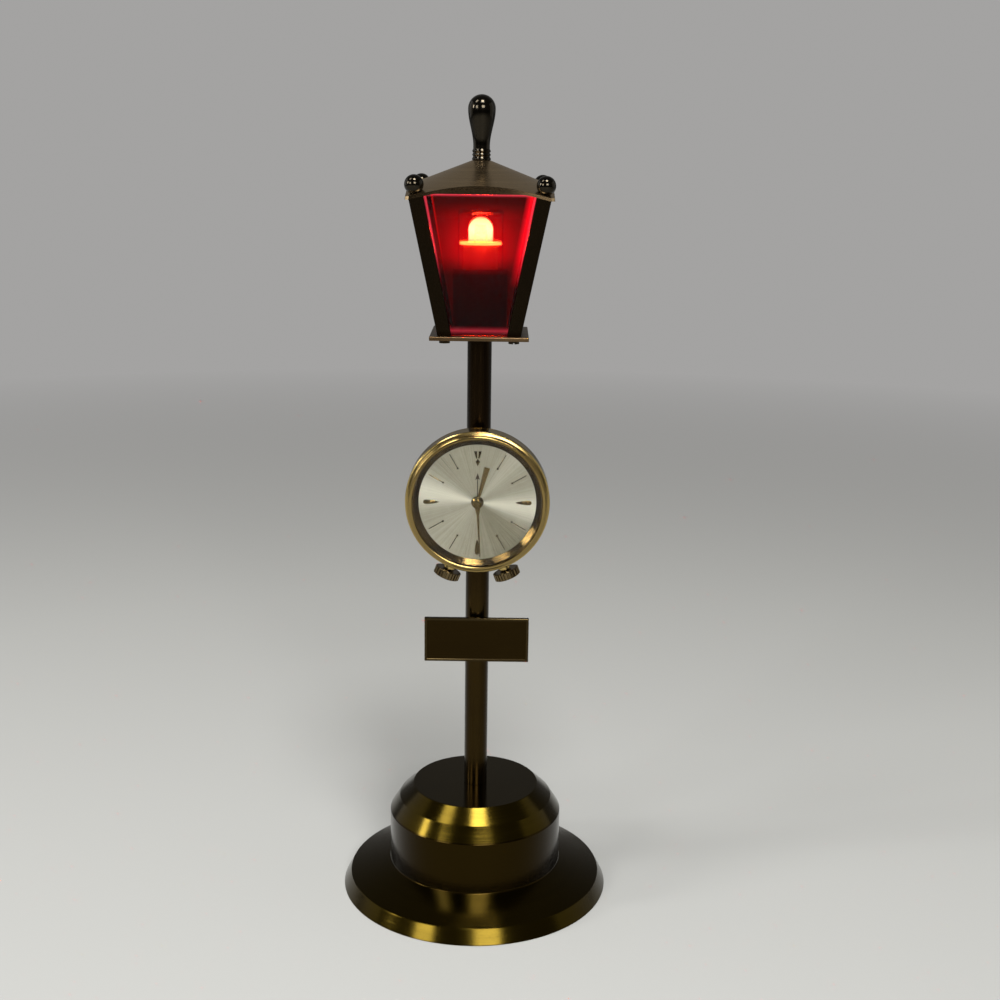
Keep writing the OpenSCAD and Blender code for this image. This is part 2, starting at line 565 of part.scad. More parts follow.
module hour_markers() color("gold") at_clock() for (h = [0 : 11]) rotate(90 - 30 * h)
  translate([dial_show_r, 0, dial_front]) {
    if (h == 0) linear_extrude(0.35) {
      for (s = [-1, 1]) polygon([[-4.5, s * 0.1], [-2.2, s * 0.25], [-2.2, s * 1.2], [-4.5, s * 0.55]]);
      polygon([[-7, 0], [-5.6, 0.7], [-4.6, 0], [-5.6, -0.7]]);
    } else if (h % 3 == 0) linear_extrude(0.45) polygon([[-6.7, 0], [-5.2, 0.4], [-1.9, 0.62], [-1.5, 0.3],
      [-1.5, -0.3], [-1.9, -0.62], [-5.2, -0.4]]);
    else {
      translate([-6.1, 0, 0]) cylinder(r = 0.25, h = 0.3);
      translate([-5.9, -0.08, 0]) cube([5, 0.16, 0.2]);
    }
  }
module case_back() color("gold") at_clock() turned([[0, back_out], [movement_r + 0.4, back_out],
  [case_r, band_back - 0.75], [case_r, band_back - 0.02], [bezel_in, band_back - 0.02],
  [bezel_in, band_back + 1], [band_in - case_t, band_back + 1], [band_in - case_t, band_back - 0.5],
  [movement_r + 0.2, back_out + case_t], [0, back_out + case_t]]);
module clock_saddle() color("goldenrod") at_clock() difference() {
  translate([0.4 - post_r, -saddle_l / 2, 1.2]) cube([2 * post_r - 0.8, saddle_l, back_out - 1.2]);
  translate([0, saddle_l, 0]) rotate([90, 0, 0]) cylinder(r = post_r + run_gap, h = 2 * saddle_l);
}
module front_plate() color("goldenrod") at_clock() difference() {
  union() {
    disc(bezel_in, front_plate_t, plate_front - front_plate_t);
    for (p = pillars) translate([p.x, p.y, back_plate_w + back_plate_t]) cylinder(r = 1.1,
      h = plate_front - back_plate_w - back_plate_t - 0.5);
    for (s = [-1, 1]) rotate(s * crown_a) translate([-2.2, 0.3 - dial_r, stem_w - 1.6])
      cube([4.4, dial_r - pinion_at - pinion_l - 1.8, plate_front - stem_w + 1.1]);
    translate([minute_wheel_at.x, minute_wheel_at.y, plate_front - 0.5]) cylinder(r = 0.4, h = 1.35);
  }
  for (s = [-1, 1]) {
    stem_line(s) translate([0, 0, pinion_at + pinion_l + 0.7]) cylinder(r = stem_r + run_gap, h = 9);
    rotate(s * crown_a) translate([-2, -pinion_at - pinion_l - 0.8, stem_w]) cube([4, pinion_l + 1.8, 4]);
  }
  arbor_holes();
  for (a = [60, 240]) rotate(a) translate([dial_r - 3, 0, plate_front - 3]) cylinder(r = 0.6, h = 5);
}
pillars = [[-2.4, 13.6], [-13.2, -4.6], [13.4, 3.6], [11.6, -8.6]];
arbors = [[0, 0], third_at, fourth_at, escape_at, lever_at, balance_at, barrel_at, alarm_barrel_at,
  hammer_at];
module arbor_holes() for (i = [0 : len(arbors) - 1]) translate([arbors[i].x, arbors[i].y, 0])
  cylinder(r = (i == 0 ? 0.5 : 0.3) + run_gap, h = 20);
module back_plate() color("goldenrod") at_clock() difference() {
  union() {
    disc(movement_r, back_plate_t, back_plate_w);
    for (p = pillars) translate([p.x, p.y, back_plate_w - 0.5]) cylinder(r = 0.9, h = 0.6);
  }
  arbor_holes();
}
// An arbor that turns in both plates
module arbor(p, r = 0.3) translate([p.x, p.y, back_plate_w + 0.1])
  cylinder(r = r, h = plate_front - 0.1 - back_plate_w - 0.1);
module wheel_on(p) { arbor(p); translate([p.x, p.y, 0]) children(); }
module mainspring_barrel() color("gold") at_clock() wheel_on(barrel_at) {
  gear(barrel_teeth, barrel_mod, 8.6, 0.6, mesh(0, centre_pinion, barrel_teeth, barrel_a));
  disc(5.3, 2, 7);
}
module centre_wheel() color("gold") at_clock() {
  translate([0, 0, back_plate_w + 0.1]) cylinder(r = 0.5, h = dial_front + 1.3 - back_plate_w - 0.1);
  gear(centre_teeth, centre_mod, 10.6, 0.35);
  gear(centre_pinion, barrel_mod, 8.4, 1);
}
module third_wheel() color("gold") at_clock() wheel_on(third_at) {
  gear(third_pinion, centre_mod, 10.3, 0.9, mesh(0, centre_teeth, third_pinion, third_a));
  gear(third_teeth, third_mod, 9.7, 0.3);
}
module fourth_wheel() color("gold") at_clock() wheel_on(fourth_at) {
  gear(fourth_pinion, third_mod, 9.5, 0.8, mesh(0, third_teeth, fourth_pinion, fourth_a));
  gear(fourth_teeth, fourth_mod, 8.8, 0.3);
}
module escape_wheel() color("gold") at_clock() wheel_on(escape_at) {
  gear(escape_pinion, fourth_mod, 8.5, 0.9, mesh(0, fourth_teeth, escape_pinion, escape_a));
  translate([0, 0, 7.6]) linear_extrude(0.3) polygon([for (i = [0 : 14])
    for (k = [[0, 2.7], [0.1, 3.3], [0.25, 3.3], [0.7, 2.7]]) polar(k[1], (i + k[0]) * 24)]);
}
module pallet_lever() color("silver") at_clock() wheel_on(lever_at) translate([0, 0, 7.6])
  linear_extrude(0.3) union() {
  circle(r = 0.8);
  rotate(210) translate([0, -0.3]) square([2.6, 0.6]);
  for (s = [-1, 1]) rotate(30 + s * 50) translate([0, -0.25]) square([2.5, 0.5]);
}
module balance_wheel() color("gold") at_clock() wheel_on(balance_at) {
  ring(3.9, 3.3, 0.6, 8.9);
  for (a = [0, 90]) rotate(a) translate([-3.5, -0.3, 8.9]) cube([7, 0.6, 0.3]);
  disc(0.9, 0.3, 8.3);
}
module alarm_barrel() color("gold") at_clock() wheel_on(alarm_barrel_at) disc(4.3, 2.2, 7);
module alarm_hammer() color("silver") at_clock() wheel_on(hammer_at) {
  disc(0.9, 1.4, 7.4);
  rotate(-44) translate([0, -0.4, 7.6]) cube([3.6, 0.8, 0.8]);
  rotate(-44) translate([3.8, 0, 7.4]) cylinder(r = 1, h = 1.4);
}
module cannon_pinion() color("gold") at_clock() {
  ring(0.9, 0.5 + run_gap, dial_front + 0.8 - plate_front - 0.05, plate_front + 0.05);
  gear(cannon_teeth, hand_mod, plate_front + 0.1, 0.4, 0, 0.7);
}
module minute_wheel() color("gold") at_clock() translate([minute_wheel_at.x, minute_wheel_at.y, 0]) {
  gear(minute_teeth, hand_mod, plate_front + 0.15, 0.3,
    mesh(0, cannon_teeth, minute_teeth, minute_wheel_a), 0.4 + run_gap);
  gear(minute_pinion, hand_mod2, plate_front + 0.4, 0.45, 0, 0.4 + run_gap);
}
module hour_wheel() color("gold") at_clock() {
  gear(hour_teeth, hand_mod2, plate_front + 0.55, 0.3,
    mesh(0, minute_pinion, hour_teeth, minute_wheel_a + 180), 1.1);
  ring(1.3, 0.9 + run_gap, dial_front + 0.48 - plate_front - 0.55, plate_front + 0.55);
}
module minute_hand() color("darkgoldenrod") at_clock() difference() {
  union() {
    translate([0, 0, dial_front + 0.85]) rotate(minute_a) linear_extrude(0.2)
      polygon([[0, 1.1], [2.5, 0.75], [4, 0.35], [minute_l, 0.15],
        [minute_l, -0.15], [4, -0.35], [2.5, -0.75], [0, -1.1]]);
    translate([0, 0, dial_front + 0.85])
      turned([[0, 0], [1.9, 0], [1.9, 0.35], [1.3, 0.7], [0.6, 0.85], [0, 0.88]]);
  }
  disc(0.5 + run_gap, 1.4, dial_front);
}
module hour_hand() color("darkgoldenrod") at_clock() rotate(hour_a) translate([0, 0, dial_front + 0.5])
  difference() {
    union() {
      linear_extrude(0.2)
        polygon([[0, 0.5], [1.5, 0.4], [hour_l, 0.95], [hour_l, -0.95], [1.5, -0.4], [0, -0.5]]);
      cylinder(r = 1.7, h = 0.2);
    }
    translate([0, 0, -1]) cylinder(r = 0.9 + run_gap, h = 3);
  }
module alarm_hand() color("saddlebrown") at_clock() {
  translate([0, 0, dial_front + 0.2]) linear_extrude(0.15) difference() {
    union() {
      circle(r = 2);
      translate([-0.14, 0]) square([0.28, alarm_l - 1.5]);
      polygon([[-0.75, alarm_l - 2.2], [0, alarm_l - 1.8], [0.75, alarm_l - 2.2], [0, alarm_l]]);
    }
    circle(r = 1.3 + run_gap);
  }
  ring(1.75, 1.3 + run_gap, 1.05, dial_front - 0.8);
  ring(3.6, 1.3 + run_gap, 0.25, dial_front - 0.75);
}
module stem_pinion(s) color("silver") at_clock() stem_line(s) translate([0, 0, pinion_at]) difference() {
  linear_extrude(pinion_l) gear2d(12, 0.2);
  translate([0, 0, -1]) cylinder(r = stem_r + run_gap, h = pinion_l + 2);
}
module wind_pinion() stem_pinion(-1);
module alarm_pinion() stem_pinion(1);
module crown(s) color("gold") at_clock() stem_line(s) {
  translate([0, 0, stem_at]) cylinder(r = stem_r, h = knob_at + 0.2 - stem_at);
  translate([0, 0, knob_at]) difference() {
    linear_extrude(crown_knob_t)
      polygon([for (i = [0 : 71]) polar(crown_knob_r - (i % 3 == 0 ? 0.35 : 0), i * 5)]);
    translate([0, 0, crown_knob_t - 0.3]) cylinder(r = crown_knob_r - 1.2, h = 1);
  }
}
module wind_crown() crown(-1);
module alarm_crown() crown(1);

base_shell();
base_plate();
base_screws();
felt_ring();
battery_lid();
battery_bracket();
battery_cell();
battery_contacts();
switch_body();
switch_nut();
switch_lever();
rod_nut();
battery_wire();
lamp_wire();
post_tube();
tie_rod();
sign_plate();
sign_clip();
lantern_floor();
corner_posts();
side_panes();
corner_screws();
ball_nuts();
roof();
top_finial();
finial_screw();
lamp_socket();
socket_contacts();
bulb_cap();
bulb_glass();
bulb_filament();
lamp_glass();
case_band();
bezel();
crystal();
dial();
hour_markers();
case_back();
clock_saddle();
front_plate();
back_plate();
mainspring_barrel();
centre_wheel();
third_wheel();
fourth_wheel();
escape_wheel();
pallet_lever();
balance_wheel();
alarm_barrel();
alarm_hammer();
cannon_pinion();
minute_wheel();
hour_wheel();
minute_hand();
hour_hand();
alarm_hand();
wind_pinion();
alarm_pinion();
wind_crown();
alarm_crown();
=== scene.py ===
import math

import bmesh
import bpy
from mathutils import Matrix, Vector


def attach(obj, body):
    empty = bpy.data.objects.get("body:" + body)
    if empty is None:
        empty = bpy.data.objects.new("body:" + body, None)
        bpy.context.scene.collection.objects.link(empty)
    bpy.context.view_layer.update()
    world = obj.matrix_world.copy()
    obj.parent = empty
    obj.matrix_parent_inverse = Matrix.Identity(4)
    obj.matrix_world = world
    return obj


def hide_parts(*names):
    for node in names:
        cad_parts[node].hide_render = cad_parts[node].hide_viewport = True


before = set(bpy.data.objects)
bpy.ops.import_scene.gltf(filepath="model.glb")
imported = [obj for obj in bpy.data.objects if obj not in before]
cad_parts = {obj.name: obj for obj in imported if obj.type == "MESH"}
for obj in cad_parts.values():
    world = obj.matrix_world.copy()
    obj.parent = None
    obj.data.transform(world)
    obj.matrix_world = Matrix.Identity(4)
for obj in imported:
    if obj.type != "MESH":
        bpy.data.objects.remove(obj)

scene = bpy.context.scene
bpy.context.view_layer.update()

# Camera
# It stands 45 cm in front of the post, at the lantern's height, and looks down at the clock.
camera_data = bpy.data.cameras.new("camera")
camera_data.sensor_width = 36
camera_data.lens = 50.33
camera_data.clip_start = 0.01
camera = bpy.data.objects.new("camera", camera_data)
scene.collection.objects.link(camera)
camera_down, camera_turn = 0.23674, 0.013508
camera.matrix_world = (
    Matrix.Translation((0.0072, -0.44798, 0.24457))
    @ Matrix.Rotation(math.pi / 2 - camera_down, 4, "X")
    @ Matrix.Rotation(camera_turn, 4, "Z")
)
scene.camera = camera
scene.view_settings.view_transform = "Standard"


# Floor and light
# A plain pale table top under a soft sky, which fades to an even grey far off. Five small lamps
# stand to the left and in front, high and low, and the turned brass shows them as bands; a weak
# lamp stands on each side.
class Value:
    """One shader socket, on which Python arithmetic makes Math nodes."""

    def __init__(self, finish, socket):
        self.finish, self.socket = finish, socket

    def operate(self, operation, *values):
        return self.finish.node("Math", {"operation": operation}, dict(enumerate(values)))

    def __add__(self, other):
        return self.operate("ADD", self, other)

    def __radd__(self, other):
        return self.operate("ADD", other, self)

    def __sub__(self, other):
        return self.operate("SUBTRACT", self, other)

    def __rsub__(self, other):
        return self.operate("SUBTRACT", other, self)

    def __mul__(self, other):
        return self.operate("MULTIPLY", self, other)

    def __rmul__(self, other):
        return self.operate("MULTIPLY", other, self)

    def __truediv__(self, other):
        return self.operate("DIVIDE", self, other)

    def __rtruediv__(self, other):
        return self.operate("DIVIDE", other, self)

    def __gt__(self, other):
        return self.operate("GREATER_THAN", self, other)

    def __lt__(self, other):
        return self.operate("LESS_THAN", self, other)

    def power(self, other):
        return self.operate("POWER", self, other)

    def smaller(self, other):
        return self.operate("MINIMUM", self, other)

    def larger(self, other):
        return self.operate("MAXIMUM", self, other)

    def size(self):
        return self.operate("ABSOLUTE", self)

    def clipped(self):
        return self.larger(0.0).smaller(1.0)


class Finish:
    """A material, made node by node."""

    def __init__(self, name, **constants):
        self.material = bpy.data.materials.new(name)
        self.material.use_nodes = True
        self.tree = self.material.node_tree
        self.shader = self.tree.nodes["Principled BSDF"]
        self.set(**constants)

    def node(self, kind, settings=None, inputs=None, out=0):
        n = self.tree.nodes.new("ShaderNode" + kind)
        for key, value in (settings or {}).items():
            setattr(n, key, value)
        for key, value in (inputs or {}).items():
            self.feed(n.inputs[key], value)
        return Value(self, n.outputs[out])

    def feed(self, socket, value):
        if isinstance(value, Value):
            self.tree.links.new(value.socket, socket)
        elif isinstance(value, (tuple, list)) and len(value) == 3 and len(socket.default_value) == 4:
            socket.default_value = (*value, 1)
        else:
            socket.default_value = value

    def set(self, **inputs):
        for key, value in inputs.items():
            self.feed(self.shader.inputs[key.replace("_", " ")], value)

    def place(self):
        """The point in metres, and its three parts."""
        point = self.node("TexCoord", out=3)
        parts = self.node("SeparateXYZ", inputs={0: point}).socket.node
        return (point, *(Value(self, part) for part in parts.outputs))

    def vector(self, x, y, z):
        return self.node("CombineXYZ", inputs={0: x, 1: y, 2: z})

    def noise(self, point, scale, detail=3, rough=0.5):
        inputs = {"Vector": point, "Scale": scale, "Detail": detail, "Roughness": rough}
        return self.node("TexNoise", inputs=inputs)

    def between(self, factor, low, high):
        """A colour that goes from low to high."""
        return self.node("Mix", {"data_type": "RGBA"}, {0: factor, 6: low, 7: high}, out=2)

    def bump(self, height, depth, strength):
        return self.node("Bump", inputs={"Height": height, "Distance": depth, "Strength": strength})


floor_finish = Finish("table_top", Roughness=0.75, Base_Color=(0.34, 0.34, 0.325))
backdrop_grey = (0.37, 0.365, 0.36)
point, x, y, z = floor_finish.place()
far_away = (((x * x + y * y).power(0.5) - 0.35) / 0.9).clipped()
seen_far_off = far_away * floor_finish.node("LightPath")
surface = Value(floor_finish, floor_finish.shader.outputs[0])
glow = floor_finish.node("Emission", inputs={"Color": backdrop_grey})
mixed = floor_finish.node("MixShader", inputs={0: seen_far_off, 1: surface, 2: glow})
floor_finish.feed(floor_finish.tree.nodes["Material Output"].inputs[0], mixed)
bpy.ops.mesh.primitive_plane_add(size=12)
floor = bpy.context.object
floor.name = "table_top"
floor.data.materials.append(floor_finish.material)


class Sky(Finish):
    """The world's nodes, made in the same way."""

    def __init__(self, world):
        world.use_nodes = True
        self.tree = world.node_tree
        self.shader = self.tree.nodes["Background"]


scene.world = bpy.data.worlds.new("sky")
sky = Sky(scene.world)
sky.set(Color=sky.between(sky.node("LightPath"), (0.155, 0.15, 0.14), backdrop_grey))


def softbox(name, place, target, width, height, watts):
    data = bpy.data.lights.new(name, "AREA")
    data.shape, data.size, data.size_y, data.energy = "RECTANGLE", width, height, watts
    lamp = bpy.data.objects.new(name, data)
    lamp.location = place
    lamp.rotation_euler = (Vector(target) - Vector(place)).to_track_quat("-Z", "Y").to_euler()
    scene.collection.objects.link(lamp)


lamp_far, lamp_tall = 1.25, 0.34
for name, turn, lift, width, watts in (
        ("left_high", -66, 60, 0.22, 3.2), ("front_high", 11, 66, 0.32, 14.5),
        ("left_mid", -75, 26, 0.16, 5.2), ("left_low", -42, 25, 0.32, 5.6),
        ("front_low", 12, 28, 0.42, 10.0)):
    a, e = math.radians(turn), math.radians(lift)
    level = lamp_far * math.cos(e)
    place = (level * math.sin(a), -level * math.cos(a), lamp_far * math.sin(e))
    softbox("lamp_" + name, place, (0, 0, 0.03), width, lamp_tall, watts)
softbox("lamp_left", (-1.1, 0.3, 0.5), (0, 0, 0.12), 0.9, 0.9, 1.6)
softbox("lamp_right", (1.1, 0.1, 0.45), (0, 0, 0.12), 0.9, 0.9, 1.3)


# Base
# A hat-shaped base, spun from one brass sheet: a sloping brim with a bevelled rim, an upright
# crown and two bevels. It was turned on a lathe, so fine lines run round it.
MM = 0.001


def rounded(corners, steps=4):
    """A closed outline in mm, with each corner (x, y, radius) rounded."""
    points, n, flat = [], len(corners), 0.06
    for i, (x, y, r) in enumerate(corners):
        here = Vector((x, y))
        a = Vector(corners[i - 1][:2]) - here
        b = Vector(corners[(i + 1) % n][:2]) - here
        if r <= 0 or a.length < 1e-6 or b.length < 1e-6:
            points.append(here)
            continue
        half = a.angle(b) / 2
        cut = min(r / math.tan(half), 0.45 * a.length, 0.45 * b.length)
        p, q = here + a.normalized() * cut, here + b.normalized() * cut
        # a point just outside each end of the arc keeps the shading of the flat beside it flat
        if cut + flat < 0.49 * a.length:
            points.append(p + a.normalized() * flat)
        for k in range(steps + 1):
            t = k / steps
            points.append((1 - t) ** 2 * p + 2 * t * (1 - t) * here + t * t * q)
        if cut + flat < 0.49 * b.length:
            points.append(q + b.normalized() * flat)
    return points


def smooth(mesh, angle):
    mesh.polygons.foreach_set("use_smooth", [True] * len(mesh.polygons))
    mesh.set_sharp_from_angle(angle=math.radians(angle))


def piece(name, mesh, finish, body, slot, *stands_for):
    """An object that rides a body and takes the place of the named nodes."""
    obj = bpy.data.objects.new(name, mesh)
    scene.collection.objects.link(obj)
    mesh.materials.clear()
    mesh.materials.append(finish.material)
    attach(obj, body)
    if stands_for:
        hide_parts(*stands_for)


def from_bmesh(name, b, angle=30, place=None):
    """The mesh of b, moved by place, with edges sharper than the angle kept sharp."""
    bmesh.ops.remove_doubles(b, verts=b.verts, dist=1e-7)
    bmesh.ops.recalc_face_normals(b, faces=b.faces)
    if place is not None:
        b.transform(place)
    mesh = bpy.data.meshes.new(name)
    b.to_mesh(mesh)
    b.free()
    smooth(mesh, angle)
    return mesh


def skin_over(b, rows):
    """Faces between rows of vertices, with the first and the last row closed."""
    for one, two in zip(rows, rows[1:]):
        for k in range(len(one)):
            m = (k + 1) % len(one)
            b.faces.new((one[k], one[m], two[m], two[k]))
    b.faces.new(rows[0])
    b.faces.new(rows[-1])


def lathe_into(b, outline, steps, place=None):
    """Turns a closed outline, in mm, round the Z axis."""
    turns = [2 * math.pi * k / steps for k in range(steps)]
    rings, new = [], []
    for p in outline:
        if abs(p[0]) < 1e-6:
            v = b.verts.new((0, 0, p[1] * MM))
            rings.append([v] * steps)
            new.append(v)
        else:
            ring = [b.verts.new((p[0] * MM * math.cos(a), p[0] * MM * math.sin(a), p[1] * MM)) for a in turns]
            rings.append(ring)
            new += ring
    for i, ring in enumerate(rings):
        after = rings[(i + 1) % len(rings)]
        for k in range(steps):
            corners = []
            for v in (ring[k], ring[(k + 1) % steps], after[(k + 1) % steps], after[k]):
                if v not in corners:
                    corners.append(v)
            if len(corners) > 2:
                b.faces.new(corners)
    if place is not None:
        bmesh.ops.transform(b, matrix=place, verts=new)


def turned(name, corners, steps, place=None):
    b = bmesh.new()
    lathe_into(b, rounded(corners), steps)
    return from_bmesh(name, b, 30, place)


def turned_brass(name, colour, dark, rough, lines, centre=(0, 0), up="Z", patina=0.5, gloss=0.0,
                 shade=None, shaded=None):
    """Brass with lathe lines round an axis, a slow change of tone and small tarnish spots. Where
    shade holds, of x, y and the radius, it has the colour shaded."""
    f = Finish(name, Metallic=1.0, Coat_Weight=gloss, Coat_Roughness=0.12)
    point, x, y, z = f.place()
    if up == "Y":
        y, z = z, y
    x, y = x - centre[0], y - centre[1]
    radius = (x * x + y * y).power(0.5)
    grooves = f.noise(f.vector(radius, z, 0.0), 5200, 2, 0.6)
    bands = f.noise(f.vector(radius, z, 0.0), 420, 3, 0.5)
    cloud = f.noise(point, 38, 4, 0.6)
    spots = f.noise(point, 900, 2, 0.5)
    tone = (cloud - 0.38) * 2.2 * patina + (bands - 0.5) * 0.5 * lines + (spots > 0.71) * 0.25
    skin = f.between(tone.clipped(), colour, dark)
    if shade:
        skin = f.between(shade(x, y, radius), skin, shaded)
    f.set(Base_Color=skin)
    f.set(Roughness=(rough + (grooves - 0.5) * 0.22 * lines + (cloud - 0.5) * 0.18).larger(0.04))
    f.set(Normal=f.bump(grooves, 0.00002 * lines, 0.6))
    return f


rim, wall, top, top_under = 45.5, 29.3, 36.5, 35.7
# The upright wall, within 0.3 mm of its radius, is given a darker colour: painted shade.
base_brass = turned_brass("base_brass", (0.040, 0.027, 0.0035), (0.014, 0.009, 0.0016), 0.16, 0.9,
                          shade=lambda x, y, radius: (radius - wall * MM).size() < 0.0003,
                          shaded=(0.020, 0.0125, 0.0025))
shell_over = [(rim, 0, 0.15), (43, 4.7, 0.35), (wall, 9.4, 0.5), (wall, 27, 0.3), (26, 32.1, 0.3),
              (21.2, top, 0.35), (0, top, 0)]
shell_under = [(0, top_under, 0), (20.86, top_under, 0), (25.32, 31.68, 0), (28.5, 26.76, 0),
               (28.5, 8.76, 0), (42.6, 3.94, 0), (44.62, 0, 0)]
b = bmesh.new()
lathe_into(b, rounded(shell_over + shell_under), 224)
boss_r, boss_low, boss_high, boss_out = 2.3, 2.42, 7.3, 32.5
for turn in (30, 150, 270):
    a = math.radians(turn)
    lathe_into(b, [(boss_r, boss_low), (boss_r, boss_high), (0, boss_high), (0, boss_low)], 24,
               Matrix.Translation((boss_out * MM * math.cos(a), boss_out * MM * math.sin(a), 0)))
piece("base_hat", from_bmesh("base_hat", b), base_brass, "stand", "base_brass", "base_shell")

# Base plate and battery
# A zinc-plated steel plate closes the base, with a turning hatch for the battery, three screws
# and a ring of green felt. The bracket, cell, contacts and wires are hidden inside.


def plain_finish(name, colour, dark, rough, metallic, grain, depth=0.00001, **more):
    """An even finish with a fine grain and slow clouds."""
    f = Finish(name, Metallic=metallic, **more)
    point = f.place()[0]
    fine, cloud = f.noise(point, grain, 3), f.noise(point, 45, 3)
    f.set(Base_Color=f.between((cloud * 0.7 + fine * 0.5 - 0.2).clipped(), colour, dark))
    f.set(Roughness=(rough + (fine - 0.5) * 0.2).larger(0.04), Normal=f.bump(fine, depth, 0.6))
    return f


def dress(finish, *nodes):
    """Gives a finish to nodes whose own solids are shown."""
    for n in nodes:
        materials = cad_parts[n].data.materials
        if not materials:
            materials.append(finish.material)
        for i in range(len(materials)):
            materials[i] = finish.material


zinc = plain_finish("zinc_plate", (0.62, 0.62, 0.60), (0.46, 0.46, 0.45), 0.34, 1.0, 900)
felt = plain_finish("green_felt", (0.035, 0.13, 0.065), (0.015, 0.07, 0.035), 0.95, 0.0, 2600, 0.0004)
fibre = plain_finish("pressed_fibre", (0.30, 0.15, 0.07), (0.18, 0.08, 0.04), 0.7, 0.0, 700, 0.0001)
jacket = plain_finish("cell_jacket", (0.36, 0.36, 0.38), (0.28, 0.28, 0.30), 0.3, 1.0, 1200)
contact_brass = plain_finish("contact_brass", (0.66, 0.49, 0.20), (0.48, 0.34, 0.13), 0.28, 1.0, 800)
red_wire = plain_finish("red_insulation", (0.45, 0.02, 0.02), (0.33, 0.015, 0.015), 0.45, 0.0, 900)
black_wire = plain_finish("black_insulation", (0.02, 0.02, 0.02), (0.012, 0.012, 0.012), 0.45, 0.0, 900)
dress(zinc, "base_plate", "base_screws", "battery_lid", "finial_screw")
dress(felt, "felt_ring")
dress(fibre, "battery_bracket")
dress(jacket, "battery_cell")
dress(contact_brass, "battery_contacts", "tie_rod", "rod_nut")
dress(red_wire, "battery_wire")
dress(black_wire, "lamp_wire")

# Switch
# A miniature toggle switch in the back of the crown: a black moulded body inside, a threaded
# bushing with a hexagon nut and a bright tapered lever that tips on a pin.
switch_black = plain_finish("switch_body", (0.035, 0.035, 0.035), (0.02, 0.02, 0.02), 0.5, 0.0, 900)
bright_nickel = plain_finish("bright_nickel", (0.72, 0.71, 0.68), (0.58, 0.57, 0.54), 0.16, 1.0, 900,
                             0.000004)
dress(switch_black, "switch_body")
dress(bright_nickel, "switch_nut", "switch_lever")

# Post
# One brass tube, clamped between base and lantern by the threaded rod inside it. It is drawn
# tube, darkened and polished, so its marks run along it.


def drawn_brass(name, colour, dark, rough, along="Z", patina=0.5, painted_shade_from=10.0):
    """Brass with fine lines along one axis; above a given height it goes dark, as painted shade."""
    f = Finish(name, Metallic=1.0)
    point, x, y, z = f.place()
    squeeze = 0.03
    stretch = {"Z": (1, 1, squeeze), "X": (squeeze, 1, 1)}[along]
    streaks = f.noise(f.vector(x * stretch[0], y * stretch[1], z * stretch[2]), 2600, 2)
    cloud = f.noise(point, 55, 4, 0.6)
    spots = f.noise(point, 1000, 2)
    # the last term darkens it above the given height: painted shade
    tone = ((cloud - 0.38) * 2.0 * patina + (streaks - 0.5) * 0.4 + (spots > 0.7) * 0.2
            + ((z - painted_shade_from) / 0.03).larger(0.0))
    f.set(Base_Color=f.between(tone.clipped(), colour, dark))
    f.set(Roughness=(rough + (streaks - 0.5) * 0.25).larger(0.05))
    f.set(Normal=f.bump(streaks, 0.00002, 0.5))
    return f


# The post is painted dark above 10 cm: painted shade on its upper part.
post_brass = drawn_brass("post_brass", (0.029, 0.018, 0.005), (0.012, 0.007, 0.003), 0.24, painted_shade_from=0.1)
post_r, bore_r, post_top = 3.9, 3.15, 190.6
piece("post", turned("post", [(post_r, top, 0.1), (post_r, post_top, 0.1), (bore_r, post_top, 0),
                              (bore_r, top, 0)], 64),
      post_brass, "stand", "post_brass", "post_tube")

# Sign plate
# A small rectangular plate with a thin raised edge and slightly rounded corners, on a clip that
# grips the post from the front. It is dark polished brass, and its face is bare.
sign_brass = drawn_brass("sign_brass", (0.018, 0.011, 0.003), (0.011, 0.006, 0.002), 0.2, "X", patina=0.4)
edge_brass = drawn_brass("edge_brass", (0.036, 0.025, 0.010), (0.018, 0.012, 0.005), 0.16, "X")
sign_w, sign_h, sign_y, sign_z, sign_t = 34.6, 15.1, -7.0, 90.15, 1.5


def slab(name, lo, hi, bevel):
    """A plate between two corners in mm, with bevelled edges."""
    b = bmesh.new()
    bmesh.ops.create_cube(b, size=1)
    centre = [(p + q) / 2 * MM for p, q in zip(lo, hi)]
    size = [(q - p) * MM for p, q in zip(lo, hi)]
    bmesh.ops.transform(b, matrix=Matrix.Translation(centre) @ Matrix.Diagonal((*size, 1)), verts=b.verts)
    bmesh.ops.bevel(b, geom=b.edges[:], offset=bevel * MM, segments=3, affect="EDGES", profile=0.5)
    return from_bmesh(name, b, 10)


piece("sign_face", slab("sign_face", (-sign_w / 2 + 0.5, sign_y + 0.3, sign_z - sign_h / 2 + 0.5),
                        (sign_w / 2 - 0.5, sign_y + sign_t, sign_z + sign_h / 2 - 0.5), 0.1),
      sign_brass, "stand", "sign_brass", "sign_plate")


def frame_bar(b, outer, inner, y0, y1):
    """A rectangular frame between two depths; outer and inner are half sizes in mm."""
    loops = []
    for (w, h), y in ((outer, y0), (outer, y1), (inner, y1), (inner, y0)):
        loops.append([b.verts.new((sx * w * MM, y * MM, (sign_z + sz * h) * MM))
                      for sx, sz in ((-1, -1), (1, -1), (1, 1), (-1, 1))])
    for one, two in zip(loops, loops[1:] + loops[:1]):
        for k in range(4):
            b.faces.new((one[k], one[(k + 1) % 4], two[(k + 1) % 4], two[k]))


sign_edge_w = 0.9
b = bmesh.new()
frame_bar(b, (sign_w / 2, sign_h / 2), (sign_w / 2 - sign_edge_w, sign_h / 2 - sign_edge_w),
          sign_y, sign_y + sign_t)
bmesh.ops.bevel(b, geom=b.edges[:], offset=0.18 * MM, segments=2, affect="EDGES", profile=0.5)
piece("sign_edge", from_bmesh("sign_edge", b, 10), edge_brass, "stand", "sign_brass")
dress(post_brass, "sign_clip", "clock_saddle")

